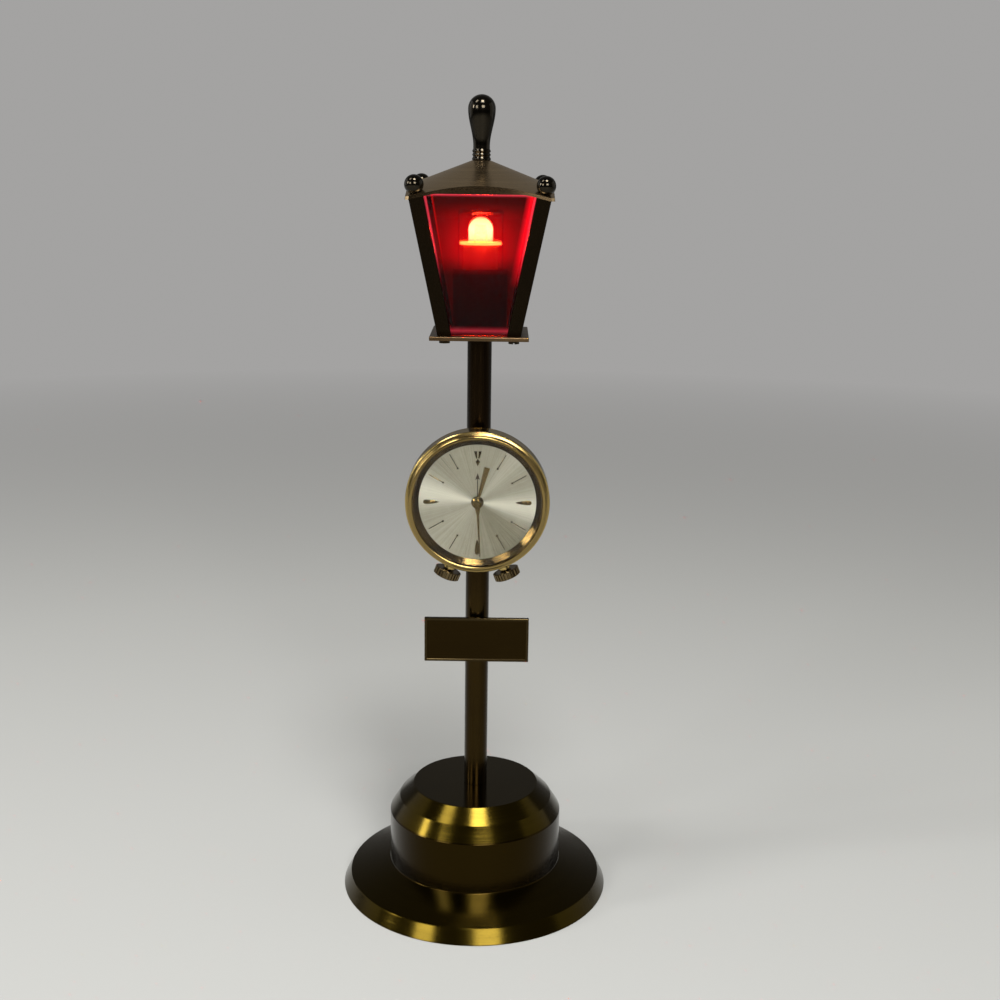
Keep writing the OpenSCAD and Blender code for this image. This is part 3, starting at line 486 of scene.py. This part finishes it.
# Lantern floor and corner posts
# A square plate on top of the post carries four square brass bars that lean outwards, each
# held from below by a screw. Grooves in the bars take the edges of the four panes.
lantern_brass = drawn_brass("lantern_brass", (0.009, 0.006, 0.003), (0.005, 0.004, 0.003), 0.3)
plate_brass = drawn_brass("plate_brass", (0.10, 0.062, 0.03), (0.035, 0.022, 0.012), 0.3, "X")
deck_z, pane_top, lip_z, apex = 191.9, 235.2, 235.3, 246.3
floor_half, bar_half, bar_foot, lean, bar_top = 15.5, 2.2, 10.85, 0.18, 238.4
roof_slope = 0.383
piece("lantern_plate", slab("lantern_plate", (-floor_half, -floor_half, post_top),
                            (floor_half, floor_half, deck_z), 0.25),
      plate_brass, "stand", "lantern_brass", "lantern_floor")


def bar_at(z):
    """How far a bar's axis is from the middle, at a height."""
    return bar_foot + lean * (z - deck_z)


def leaning_bar(b, sx, sy):
    """One bar, cut off under the roof's cone."""
    h, under_roof = bar_half, 1.02
    loops = []
    for z in (deck_z, bar_top):
        c, loop = bar_at(z), []
        for dx, dy in ((-h, -h), (h, -h), (h, h), (-h, h)):
            q = z if z == deck_z else min(z, apex - roof_slope * math.hypot(c + dx, c + dy) - under_roof)
            loop.append(b.verts.new((sx * (c + dx) * MM, sy * (c + dy) * MM, q * MM)))
        loops.append(loop)
    skin_over(b, loops)


b = bmesh.new()
for sx in (-1, 1):
    for sy in (-1, 1):
        leaning_bar(b, sx, sy)
bmesh.ops.bevel(b, geom=b.edges[:], offset=0.25 * MM, segments=3, affect="EDGES", profile=0.5)
piece("lantern_bars", from_bmesh("lantern_bars", b, 10), lantern_brass, "stand", "lantern_brass",
      "corner_posts")
dress(edge_brass, "corner_screws")

# Red panes
# Four trapezoids of red acrylic, 1.6 mm thick. The lamp's light in the sheet is painted on as
# glow: it is brightest round the bulb, with painted shadow under the roof and by the socket. The
# cut edges glow pink along the bars and under the roof, and the front sheet has a bright red band
# at its right; these are painted light too.
red_acrylic = Finish("red_acrylic", Base_Color=(0.50, 0.010, 0.009), Roughness=0.03, IOR=1.15,
                     Transmission_Weight=1.0, Emission_Strength=1.0)
point, x, y, z = red_acrylic.place()
across = x.size().smaller(y.size())
inward = (bar_foot * MM + (z - deck_z * MM) * lean - bar_half * MM) - across
upper = ((z - 0.207) / 0.012).clipped()
# The edges' pink glow and the red band at the front sheet's right are painted light.
side_glow = (1.0 - inward / 0.00035).clipped() * (0.05 + upper * 0.6)
band = (1.6 - inward / 0.0016).clipped() * upper * (y < -0.008) * (x > 0.0)
top_glow = (1.0 - (pane_top * MM - z).size() / 0.0009).clipped()
foot_glow = (1.0 - (z - (deck_z + 1.6) * MM).size() / 0.0018).clipped()
cloud = red_acrylic.noise(point, 90, 3)
edge = side_glow.larger(top_glow * 0.85).larger(foot_glow * 0.5)
lamp_z = 0.222
to_lamp = (x * x + y * y + (z - lamp_z) * (z - lamp_z)).power(0.5)
# The glow round the bulb is painted light; under the roof and by the socket it is painted shadow.
between_painted_shadows = ((z - 0.2105) / 0.006).smaller((0.233 - z) / 0.0045).larger(0.06).smaller(1.0)
lit = (to_lamp / 0.0172).power(-6.0) * (0.85 + cloud * 0.3) * between_painted_shadows
inner = red_acrylic.between(lit.smaller(1.0), (0.001, 0.0, 0.0), (0.26, 0.0, 0.002))
inner = red_acrylic.between(band * 0.7, inner, (0.70, 0.001, 0.012))
red_acrylic.set(Emission_Color=red_acrylic.between(edge * edge, inner, (0.85, 0.07, 0.12)))


def pane_into(b, turn):
    """One pane, set 0.7 mm into the bars at its sides."""
    in_groove, half_thick, out_of_axis = 0.7, 0.8, 0.4
    loops = []
    for z in (deck_z, pane_top):
        w, d = bar_at(z) - bar_half + in_groove, bar_at(z) + out_of_axis
        front, back = -d - half_thick, -d + half_thick
        loops.append([(-w, front, z), (w, front, z), (w, back, z), (-w, back, z)])
    turned_by = Matrix.Rotation(turn, 3, "Z")
    skin_over(b, [[b.verts.new(turned_by @ Vector(p) * MM) for p in loop] for loop in loops])


b = bmesh.new()
for k in range(4):
    pane_into(b, k * math.pi / 2)
bmesh.ops.bevel(b, geom=b.edges[:], offset=0.12 * MM, segments=2, affect="EDGES", profile=0.5)
piece("panes", from_bmesh("panes", b, 10), red_acrylic, "stand", "pane_red", "side_panes")

# Roof
# A shallow cone of spun brass, cut to a square, so that its edge rises in an arch over each
# pane; a lip under the arch closes it down to the pane. It is satin, with turning lines.
# The roof's cut edge, the face that runs down from each arch, is painted near-black as shade.
roof_brass = turned_brass("roof_brass", (0.46, 0.33, 0.18), (0.21, 0.145, 0.08), 0.26, 1.0,
                          shade=lambda x, y, radius: x.size().larger(y.size()) > 0.0223,
                          shaded=(0.015, 0.010, 0.005))


def roof_mesh(half=22.5, thick=0.9634, steps=36, rings=14):
    """The cone's square, from its edge points, with the cut-off corners and the lip."""
    b = bmesh.new()
    cut = half * math.sqrt(2) - 0.9
    side = [Vector((half, half * (-1 + 2 * i / steps))) for i in range(steps)]
    edge_points = []
    for k in range(4):
        edge_points += [p if p.length < cut else p.normalized() * cut for p in side]
        side = [Vector((-p.y, p.x)) for p in side]
    lip = (half - 0.8) / half

    def row(share, drop, foot=1000.0, inset=1.0):
        """One ring of vertices, drop mm under the cone or at the foot of the lip."""
        return [b.verts.new((p.x * share * inset * MM, p.y * share * inset * MM,
                             min(apex - roof_slope * p.length * share - drop, foot) * MM))
                for p in edge_points]

    n = len(edge_points)
    over = [row(j / rings, 0) for j in range(1, rings)] + [row(1, 0, inset=0.995)]
    under = [row(j / rings, thick) for j in range(1, rings)]
    under += [row(lip, thick), row(lip, thick, lip_z), row(1, thick, lip_z)]
    over_tip, under_tip = b.verts.new((0, 0, apex * MM)), b.verts.new((0, 0, (apex - thick) * MM))
    for k in range(n):
        m = (k + 1) % n
        b.faces.new((over_tip, over[0][k], over[0][m]))
        b.faces.new((under_tip, under[0][m], under[0][k]))
        for rows in (over, under):
            for one, two in zip(rows, rows[1:]):
                b.faces.new((one[k], two[k], two[m], one[m]))
        b.faces.new((over[-1][k], under[-1][k], under[-1][m], over[-1][m]))
    return from_bmesh("roof", b, 40)


piece("roof_cone", roof_mesh(), roof_brass, "stand", "roof_brass", "roof")

# Finial and ball nuts
# A turned club on top, with rings at its foot, and a ball at each corner that is screwed down
# on the bar. They are dark bronze, polished.
bronze = turned_brass("polished_bronze", (0.013, 0.009, 0.003), (0.007, 0.005, 0.002), 0.1, 0.3,
                      patina=0.4, gloss=0.25)
foot_r, neck_r, head_r, neck_h, head_h = 2.9, 2.6, 4.3, 4.4, 15.5
foot = apex - roof_slope * foot_r + 0.05
club = [(foot_r, 0, 0.1), (2.95, 0.5, 0.3), (neck_r, 1.1, 0.15), (2.95, 1.65, 0.3), (neck_r, 2.2, 0.15),
        (2.95, 2.75, 0.3), (neck_r, 3.4, 0.1), (neck_r, neck_h, 0.2)]
for i in range(1, 20):
    t = i / 20
    club.append((neck_r + 1.7 * (3 * t * t - 2 * t ** 3), neck_h + t * 11.0, 0))
for i in range(13):
    a = math.radians(i * 7.5)
    club.append((head_r * math.cos(a), head_h + head_r * math.sin(a), 0))
club[-1] = (0, head_h + head_r, 0)
outline = [(r, h + foot, k) for r, h, k in club] + [(0, foot + 1.1, 0)]
piece("finial_club", turned("finial_club", outline, 72), bronze, "stand", "ball_brass", "top_finial")


class Recipe:
    """A Geometry Nodes tree, built node by node."""

    def __init__(self, name, **sizes):
        self.tree = bpy.data.node_groups.new(name, "GeometryNodeTree")
        self.tree.interface.new_socket("Geometry", in_out="OUTPUT", socket_type="NodeSocketGeometry")
        self.sockets = {}
        kinds = {bpy.types.Object: "Object", bpy.types.Material: "Material", int: "Int", float: "Float"}
        for key, value in sizes.items():
            kind = next(word for sort, word in kinds.items() if isinstance(value, sort))
            socket = self.tree.interface.new_socket(key, in_out="INPUT", socket_type="NodeSocket" + kind)
            self.sockets[key] = socket.identifier
        self.sizes = sizes
        self.inputs = self.tree.nodes.new("NodeGroupInput")

    def add(self, kind, *values, operation=None, **inputs):
        """Adds a node, and feeds its inputs by place or by name. A string is a size's name."""
        n = self.tree.nodes.new(kind)
        if operation:
            n.operation = operation
        fed = list(enumerate(values)) + [(key.replace("_", " "), value) for key, value in inputs.items()]
        for key, value in fed:
            if isinstance(value, str):
                self.tree.links.new(self.inputs.outputs[value], n.inputs[key])
            elif isinstance(value, bpy.types.NodeSocket):
                self.tree.links.new(value, n.inputs[key])
            else:
                n.inputs[key].default_value = value
        return n.outputs

    def mesh(self, geometry):
        """Ends the tree, runs it and gives its mesh."""
        whole = self.add("GeometryNodeRealizeInstances", Geometry=geometry)[0]
        painted = self.add("GeometryNodeSetMaterial", Geometry=whole, Material="finish")[0]
        out = self.tree.nodes.new("NodeGroupOutput")
        self.tree.links.new(painted, out.inputs[0])
        holder = bpy.data.objects.new("holder", bpy.data.meshes.new("holder"))
        scene.collection.objects.link(holder)
        m = holder.modifiers.new("recipe", "NODES")
        m.node_group = self.tree
        for key, value in self.sizes.items():
            m[self.sockets[key]] = value
        graph = bpy.context.evaluated_depsgraph_get()
        mesh = bpy.data.meshes.new_from_object(holder.evaluated_get(graph), depsgraph=graph)
        bpy.data.objects.remove(holder)
        return mesh


def ring_of(name, item, count, radius, finish, start=0.0):
    """Copies of an item, drawn for the +X side, evenly spaced round the Z axis."""
    r = Recipe(name, count=count, radius=radius, start=start, item=item, finish=finish.material)
    line = r.add("GeometryNodeMeshLine", Count="count", Offset=(0, 0, 0))["Mesh"]
    number = r.add("GeometryNodeInputIndex")[0]
    share = r.add("ShaderNodeMath", number, "count", operation="DIVIDE")[0]
    turn = r.add("ShaderNodeMath", share, 2 * math.pi, "start", operation="MULTIPLY_ADD")[0]
    angle = r.add("ShaderNodeCombineXYZ", 0.0, 0.0, turn)[0]
    shift = r.add("ShaderNodeCombineXYZ", "radius")[0]
    info = r.add("GeometryNodeObjectInfo", Object="item", As_Instance=True)["Geometry"]
    placed = r.add("GeometryNodeTransform", Geometry=info, Translation=shift)["Geometry"]
    copies = r.add("GeometryNodeInstanceOnPoints", Points=line, Instance=placed, Rotation=angle)
    return r.mesh(copies["Instances"])


ball_r, ball_out = 2.95, 19.8 * math.sqrt(2)
ball_z = apex - roof_slope * ball_out + 2.4
angles = [math.radians(a) for a in range(18, 180, 6)]
ball = [(ball_r * math.sin(a), ball_z - ball_r * math.cos(a)) for a in angles] + [(0, ball_z + ball_r)]
b = bmesh.new()
lathe_into(b, ball + [(0, ball[0][1])], 48)
ball_item = bpy.data.objects.new("ball_item", from_bmesh("ball_item", b))
balls = ring_of("four_balls", ball_item, 4, ball_out * MM, bronze, math.pi / 4)
smooth(balls, 40)
piece("corner_balls", balls, bronze, "stand", "ball_brass", "ball_nuts")

# Lamp
# A dark moulded socket holds a small flanged bulb, with a clear glass tube over it. The bulb is
# lit: the middle of its globe is yellow-white and the globe is orange outside, and its flange is
# painted yellow-white as glow.
socket_black = plain_finish("socket_moulding", (0.004, 0.003, 0.003), (0.002, 0.002, 0.002), 0.5, 0.0, 500,
                            IOR=1.2)
socket_top, socket_in, tube_top, tube_under = 212.1, 197.9, 230.4, 229.6
socket = [(3.0, deck_z, 0), (8.7, deck_z, 0.1), (8.7, socket_top, 0.5), (7.35, socket_top, 0.3),
          (7.35, socket_in, 0), (3.0, socket_in, 0)]
piece("socket", turned("socket", socket, 72), socket_black, "stand", "socket_black", "lamp_socket")
clear_glass = Finish("clear_glass", Base_Color=(1.0, 0.97, 0.96), Roughness=0.02, IOR=1.46,
                     Transmission_Weight=1.0)
point = clear_glass.place()[0]
clear_glass.set(Roughness=0.015 + clear_glass.noise(point, 200, 2) * 0.03)
tube = [(7.25, socket_in, 0.2), (7.25, tube_top, 1.2), (0, tube_top, 0), (0, tube_under, 0),
        (6.75, tube_under, 0.8), (6.75, socket_in, 0.2)]
piece("glass_tube", turned("glass_tube", tube, 72), clear_glass, "stand", "lamp_clear", "lamp_glass")
bulb_glow = Finish("lit_bulb_glass", Base_Color=(1.0, 0.85, 0.6), Roughness=0.05, IOR=1.1,
                   Transmission_Weight=1.0, Emission_Strength=260.0)
z = bulb_glow.place()[3]
from_core = ((z - 0.2243).size() / 0.0042).smaller(1.0)
bulb_glow.set(Emission_Color=bulb_glow.between(from_core, (0.7, 1.0, 0.6), (0.2, 0.05, 0.0)))
# The metal flange is no lamp: its yellow-white glow is painted light.
flange_lit = Finish("lit_flange", Base_Color=(0.9, 0.7, 0.3), Roughness=0.25, Emission_Strength=700.0)
point = flange_lit.place()[0]
flange_lit.set(Emission_Color=flange_lit.between(flange_lit.noise(point, 300, 2), (0.5, 1.0, 0.15),
                                                 (0.45, 1.0, 0.3)))
filament_lit = Finish("lit_filament", Base_Color=(1.0, 0.7, 0.3), Roughness=0.5, Emission_Strength=700.0)
point, x, y, z = filament_lit.place()
hot = filament_lit.between(filament_lit.noise(point, 900, 2), (1.0, 0.66, 0.28), (1.0, 0.8, 0.45))
filament_lit.set(Emission_Color=filament_lit.between(z > 0.2218, (0.002, 0.001, 0.0), hot))
socket_shell = plain_finish("socket_shell", (0.45, 0.33, 0.14), (0.40, 0.29, 0.12), 0.35, 1.0, 3000, 0.000001)
dress(socket_shell, "socket_contacts")
dress(bulb_glow, "bulb_glass")
dress(flange_lit, "bulb_cap")
coil_half, coil_r, coil_z, coil_turns, coil_steps = 1.8, 1.3, 224.1, 6, 96
coil = []
for i in range(coil_steps + 1):
    along, a = i / coil_steps, 2 * math.pi * coil_turns * i / coil_steps
    coil.append(Vector((coil_half * (2 * along - 1), coil_r * math.cos(a), coil_z + coil_r * math.sin(a))))


def wire_into(b, route, radius):
    """An eight-sided wire along a route in mm."""
    turns = [2 * math.pi * k / 8 for k in range(8)]
    rows = []
    for i, p in enumerate(route):
        way = (route[min(i + 1, len(route) - 1)] - route[max(i - 1, 0)]).normalized()
        u = way.cross(Vector((0.3, 0.1, 1))).normalized()
        v = way.cross(u)
        rows.append([b.verts.new((p + radius * (math.cos(a) * u + math.sin(a) * v)) * MM) for a in turns])
    skin_over(b, rows)


b = bmesh.new()
wire_into(b, coil, 0.3)
for x in (-coil_half, coil_half):
    wire_into(b, [Vector((x, 0, z)) for z in (202.4, 210, 218, 223.4, coil_z)], 0.2)
piece("filament", from_bmesh("filament", b), filament_lit, "stand", "filament_glow", "bulb_filament")

# Clock case
# A round alarm clock in a gilt case: a plain band, a rounded bezel that is pressed in, a slope
# down to the dial, and a flat back on a saddle that is soldered to the post.
clock_axis = (0, 0.1391)
clock_at = Matrix.Translation((0, 0, clock_axis[1])) @ Matrix.Rotation(math.pi / 2, 4, "X")
gilt = turned_brass("gilt_case", (0.39, 0.29, 0.105), (0.24, 0.165, 0.055), 0.14, 0.35,
                    clock_axis, "Y", 0.35)
bezel_gilt = turned_brass("gilt_bezel", (0.24, 0.17, 0.06), (0.14, 0.095, 0.032), 0.16, 0.35,
                          clock_axis, "Y", 0.35, shade=lambda x, y, radius: radius < 0.0209,
                          shaded=(0.085, 0.053, 0.017))
stem_depth, stem_turn = 10.6, 21.5


def stem_at(side):
    """The frame of one crown's stem, in the clock's own frame."""
    return (Matrix.Translation((0, 0, stem_depth * MM))
            @ Matrix.Rotation(math.radians(side * stem_turn), 4, "Z") @ Matrix.Rotation(math.pi / 2, 4, "X"))


b = bmesh.new()
band = [(22.4, 8.7, 0), (23.1, 8.7, 0.1), (23.1, 15.1, 0.15), (22.85, 15.35, 0.05), (22.4, 15.35, 0)]
lathe_into(b, rounded(band), 200)
for side in (-1, 1):
    collar = [(0.85, 22.55, 0), (1.9, 22.55, 0), (1.9, 24.8, 0.2), (0.85, 24.8, 0.1)]
    lathe_into(b, rounded(collar), 40, stem_at(side))
piece("case_ring", from_bmesh("case_ring", b, 30, clock_at), gilt, "stand", "case_gold", "case_band")
bezel = [(18.8, 14.25, 0), (18.8, 14.5, 0.05), (20.4, 16.05, 0.1), (21.05, 16.05, 0), (21.05, 16.85, 0),
         (20.75, 16.9, 0), (20.8, 17.1, 0.1), (21.1, 17.2, 0.2), (21.6, 17.15, 0.3), (21.95, 16.8, 0.3),
         (22.0, 15.8, 0.15), (22.7, 15.6, 0.1), (22.7, 15.4, 0), (22.35, 15.4, 0), (22.35, 12.9, 0),
         (21.15, 12.9, 0), (21.15, 14.25, 0)]
piece("bezel_ring", turned("bezel_ring", bezel, 200, clock_at), bezel_gilt, "stand", "case_gold", "bezel")
dress(gilt, "case_back")
crystal_clear = Finish("clear_acrylic", Base_Color=(1, 1, 1), Roughness=0.02, IOR=1.2,
                       Transmission_Weight=1.0)
point = crystal_clear.place()[0]
crystal_clear.set(Roughness=0.01 + crystal_clear.noise(point, 300, 2) * 0.03)
dress(crystal_clear, "crystal")

# Dial
# A thin silvered disc with a sunburst: fine scratches run from its centre to its edge. Its two bright
# fans, fainter ones and a darker one are painted highlight and shade. Gilt markers are riveted on.
silver = Finish("silver_sunburst", Metallic=1.0)
point, x, y, z = silver.place()
z = z - clock_axis[1]
turn = silver.node("Math", {"operation": "ARCTAN2"}, {0: z, 1: x})
cosine = silver.node("Math", {"operation": "COSINE"}, {0: turn})
sine = silver.node("Math", {"operation": "SINE"}, {0: turn})
circle_point = silver.vector(cosine, sine, 0.0)
rays = silver.noise(circle_point, 45, 1, 0.5)
brushed = rays * (x * x + z * z).power(0.5)
grime = silver.noise(point, 420, 3, 0.6)
rays_grime_and_painted_fans = 0.22 + (rays - 0.5) * 0.3 + (grime - 0.5) * 0.12
# Painted highlights: bright fans to the left and right, fainter ones up right and down left, and a painted
# darker fan down right.
for degrees, sharp, much in ((168, 22, 0.75), (-6, 26, 0.7), (50, 30, 0.22), (224, 8, 0.14), (-50, 5, -0.18)):
    a = math.radians(degrees)
    rays_grime_and_painted_fans = rays_grime_and_painted_fans + (cosine * math.cos(a) + sine * math.sin(a)).larger(0.0).power(sharp) * much
silver.set(Base_Color=silver.between(rays_grime_and_painted_fans.clipped(), (0.21, 0.193, 0.13), (0.78, 0.76, 0.625)))
silver.set(Roughness=(0.3 + (rays - 0.5) * 0.1), Normal=silver.bump(brushed, 0.004, 1.0))
dress(silver, "dial")
marker_gold = turned_brass("marker_gold", (0.085, 0.058, 0.02), (0.045, 0.03, 0.01), 0.14, 0.2,
                           clock_axis, "Y", 0.3)
dial_front = 14.2


def turner(b, turn):
    """Makes vertices from places in mm that are turned round the Z axis."""
    c, s = math.cos(turn), math.sin(turn)
    return lambda x, y, z: b.verts.new(((x * c - y * s) * MM, (x * s + y * c) * MM, z * MM))


def marker_into(b, outline, high, turn, crown):
    """A flat outline in mm on the dial, high at its edge and crown more at its middle."""
    at, n = turner(b, turn), len(outline)
    low = [at(x, y, dial_front) for x, y in outline]
    raised = [at(x, y, high) for x, y in outline]
    tip = at(sum(p[0] for p in outline) / n, sum(p[1] for p in outline) / n, high + crown)
    b.faces.new(low)
    for k in range(n):
        m = (k + 1) % n
        b.faces.new((low[k], low[m], raised[m], raised[k]))
        b.faces.new((raised[k], raised[m], tip))


b = bmesh.new()
for h in (3, 6, 9):
    marker_into(b, [(12.1, 0), (12.8, 0.25), (14.2, 0.55), (16.0, 0.72), (16.9, 0.66), (17.3, 0.3),
                    (17.3, -0.3), (16.9, -0.66), (16.0, -0.72), (14.2, -0.55), (12.8, -0.25)],
                14.45, math.radians(90 - 30 * h), 0.2)
for s in (-1, 1):
    marker_into(b, [(14.3, s * 0.1), (16.6, s * 0.25), (16.6, s * 1.2), (14.3, s * 0.55)],
                14.4, math.pi / 2, 0.12)
marker_into(b, [(11.8, 0), (13.2, 0.7), (14.2, 0), (13.2, -0.7)], 14.4, math.pi / 2, 0.15)
piece("dial_batons", from_bmesh("dial_batons", b, 10, clock_at), marker_gold, "stand", "marker_gold",
      "hour_markers")
b = bmesh.new()
dot_out = 12.7
for h in (1, 2, 4, 5, 7, 8, 10, 11):
    a = math.radians(90 - 30 * h)
    marker_into(b, [(12.9, -0.12), (17.9, -0.12), (17.9, 0.12), (12.9, 0.12)], 14.35, a, 0.05)
    lathe_into(b, [(0.33, dial_front), (0.33, 14.4), (0.2, 14.48), (0, 14.5), (0, dial_front)], 16,
               Matrix.Translation((dot_out * MM * math.cos(a), dot_out * MM * math.sin(a), 0)))
piece("dial_lines", from_bmesh("dial_lines", b, 20, clock_at), marker_gold, "stand", "marker_gold")

# Hands
# Pressed brass hands: a broad cut-off hour hand, a tapered minute hand under a domed cap and a
# small arrow for the alarm. The first two have a ridge along them.
hand_gold = turned_brass("hand_gold", (0.115, 0.08, 0.029), (0.068, 0.044, 0.015), 0.14, 0.2,
                         clock_axis, "Y", 0.3)
minutes = 29.5
minute_turn, hour_turn = math.radians(90 - minutes * 6), math.radians(90 - minutes / 2)


def ridged_into(b, half_widths, z0, z1, turn, ridge):
    """A hand from its (distance, half width) stations, with a ridge along its middle."""
    at = turner(b, turn)
    skin_over(b, [(at(x, -w, z0), at(x, w, z0), at(x, w, z1), at(x, 0, z1 + ridge), at(x, -w, z1))
                  for x, w in half_widths])


b = bmesh.new()
ridged_into(b, [(0, 1.1), (2.5, 0.75), (4, 0.35), (17.9, 0.15)], 15.05, 15.2, minute_turn, 0.05)
cap = [(0, 15.05, 0), (1.9, 15.05, 0.05), (1.9, 15.4, 0.1), (1.3, 15.72, 0.3), (0.6, 15.88, 0.2),
       (0, 15.93, 0)]
lathe_into(b, rounded(cap), 48)
piece("hand_minute", from_bmesh("hand_minute", b, 25, clock_at), hand_gold, "minute", "hand_gold",
      "minute_hand")
b = bmesh.new()
ridged_into(b, [(0, 0.5), (1.5, 0.4), (11.8, 0.95)], 14.7, 14.83, hour_turn, 0.07)
lathe_into(b, [(1.7, 14.7), (1.7, 14.9), (0.95, 14.9), (0.95, 14.7)], 48)
piece("hand_hour", from_bmesh("hand_hour", b, 25, clock_at), hand_gold, "hour", "hand_gold", "hour_hand")
dark_brass = plain_finish("dark_brass", (0.05, 0.034, 0.018), (0.03, 0.02, 0.01), 0.3, 1.0, 800)
dress(dark_brass, "alarm_hand")

# Crowns
# Two knurled crowns at the foot of the case: one winds the clock, one sets it. Each sits on its
# stem in a short collar, and its ribs are cut along it.
crown_gold = turned_brass("crown_gold", (0.13, 0.095, 0.045), (0.055, 0.038, 0.018), 0.16, 0.3,
                          clock_axis, "Y", 0.4)
rib_count, rib_out = 24, 4.1


def crown_mesh(name, side):
    """Ribs round a turned knob, with the stem, along one crown's axis."""
    b = bmesh.new()
    rib = [(-0.3, -0.4), (0.12, -0.32), (0.2, -0.2), (0.2, 0.2), (0.12, 0.32), (-0.3, 0.4)]
    skin_over(b, [[b.verts.new((x * MM, y * MM, z * MM)) for x, y in rib] for z in (25.25, 27.5)])
    item = bpy.data.objects.new(name + "_rib", from_bmesh(name + "_rib", b, 20))
    ribs = ring_of(name + "_ribs", item, rib_count, rib_out * MM, crown_gold)
    b = bmesh.new()
    b.from_mesh(ribs)
    knob = [(0.75, 14.2, 0), (0.75, 25.1, 0), (3.92, 25.1, 0.15), (3.92, 27.7, 0.25), (3.1, 27.7, 0.1),
            (2.9, 27.4, 0.1), (0, 27.4, 0), (0, 14.2, 0)]
    lathe_into(b, rounded(knob), 88)
    return from_bmesh(name, b, 30, clock_at @ stem_at(side))


piece("knob_wind", crown_mesh("knob_wind", -1), crown_gold, "wind_crown", "crown_gold", "wind_crown")
piece("knob_set", crown_mesh("knob_set", 1), crown_gold, "alarm_crown", "crown_gold", "alarm_crown")

# Movement
# Two brass plates with the going train, the balance, the alarm barrel and hammer, and the wheels
# behind the dial. All of it is hidden in the closed case.
movement_brass = plain_finish("movement_brass", (0.70, 0.53, 0.24), (0.52, 0.38, 0.15), 0.28, 1.0, 700)
movement_steel = plain_finish("movement_steel", (0.58, 0.58, 0.60), (0.42, 0.42, 0.44), 0.25, 1.0, 700)
dress(movement_brass, "front_plate", "back_plate", "mainspring_barrel", "centre_wheel", "third_wheel",
      "fourth_wheel", "escape_wheel", "balance_wheel", "alarm_barrel", "cannon_pinion", "minute_wheel",
      "hour_wheel")
dress(movement_steel, "pallet_lever", "alarm_hammer", "wind_pinion", "alarm_pinion")
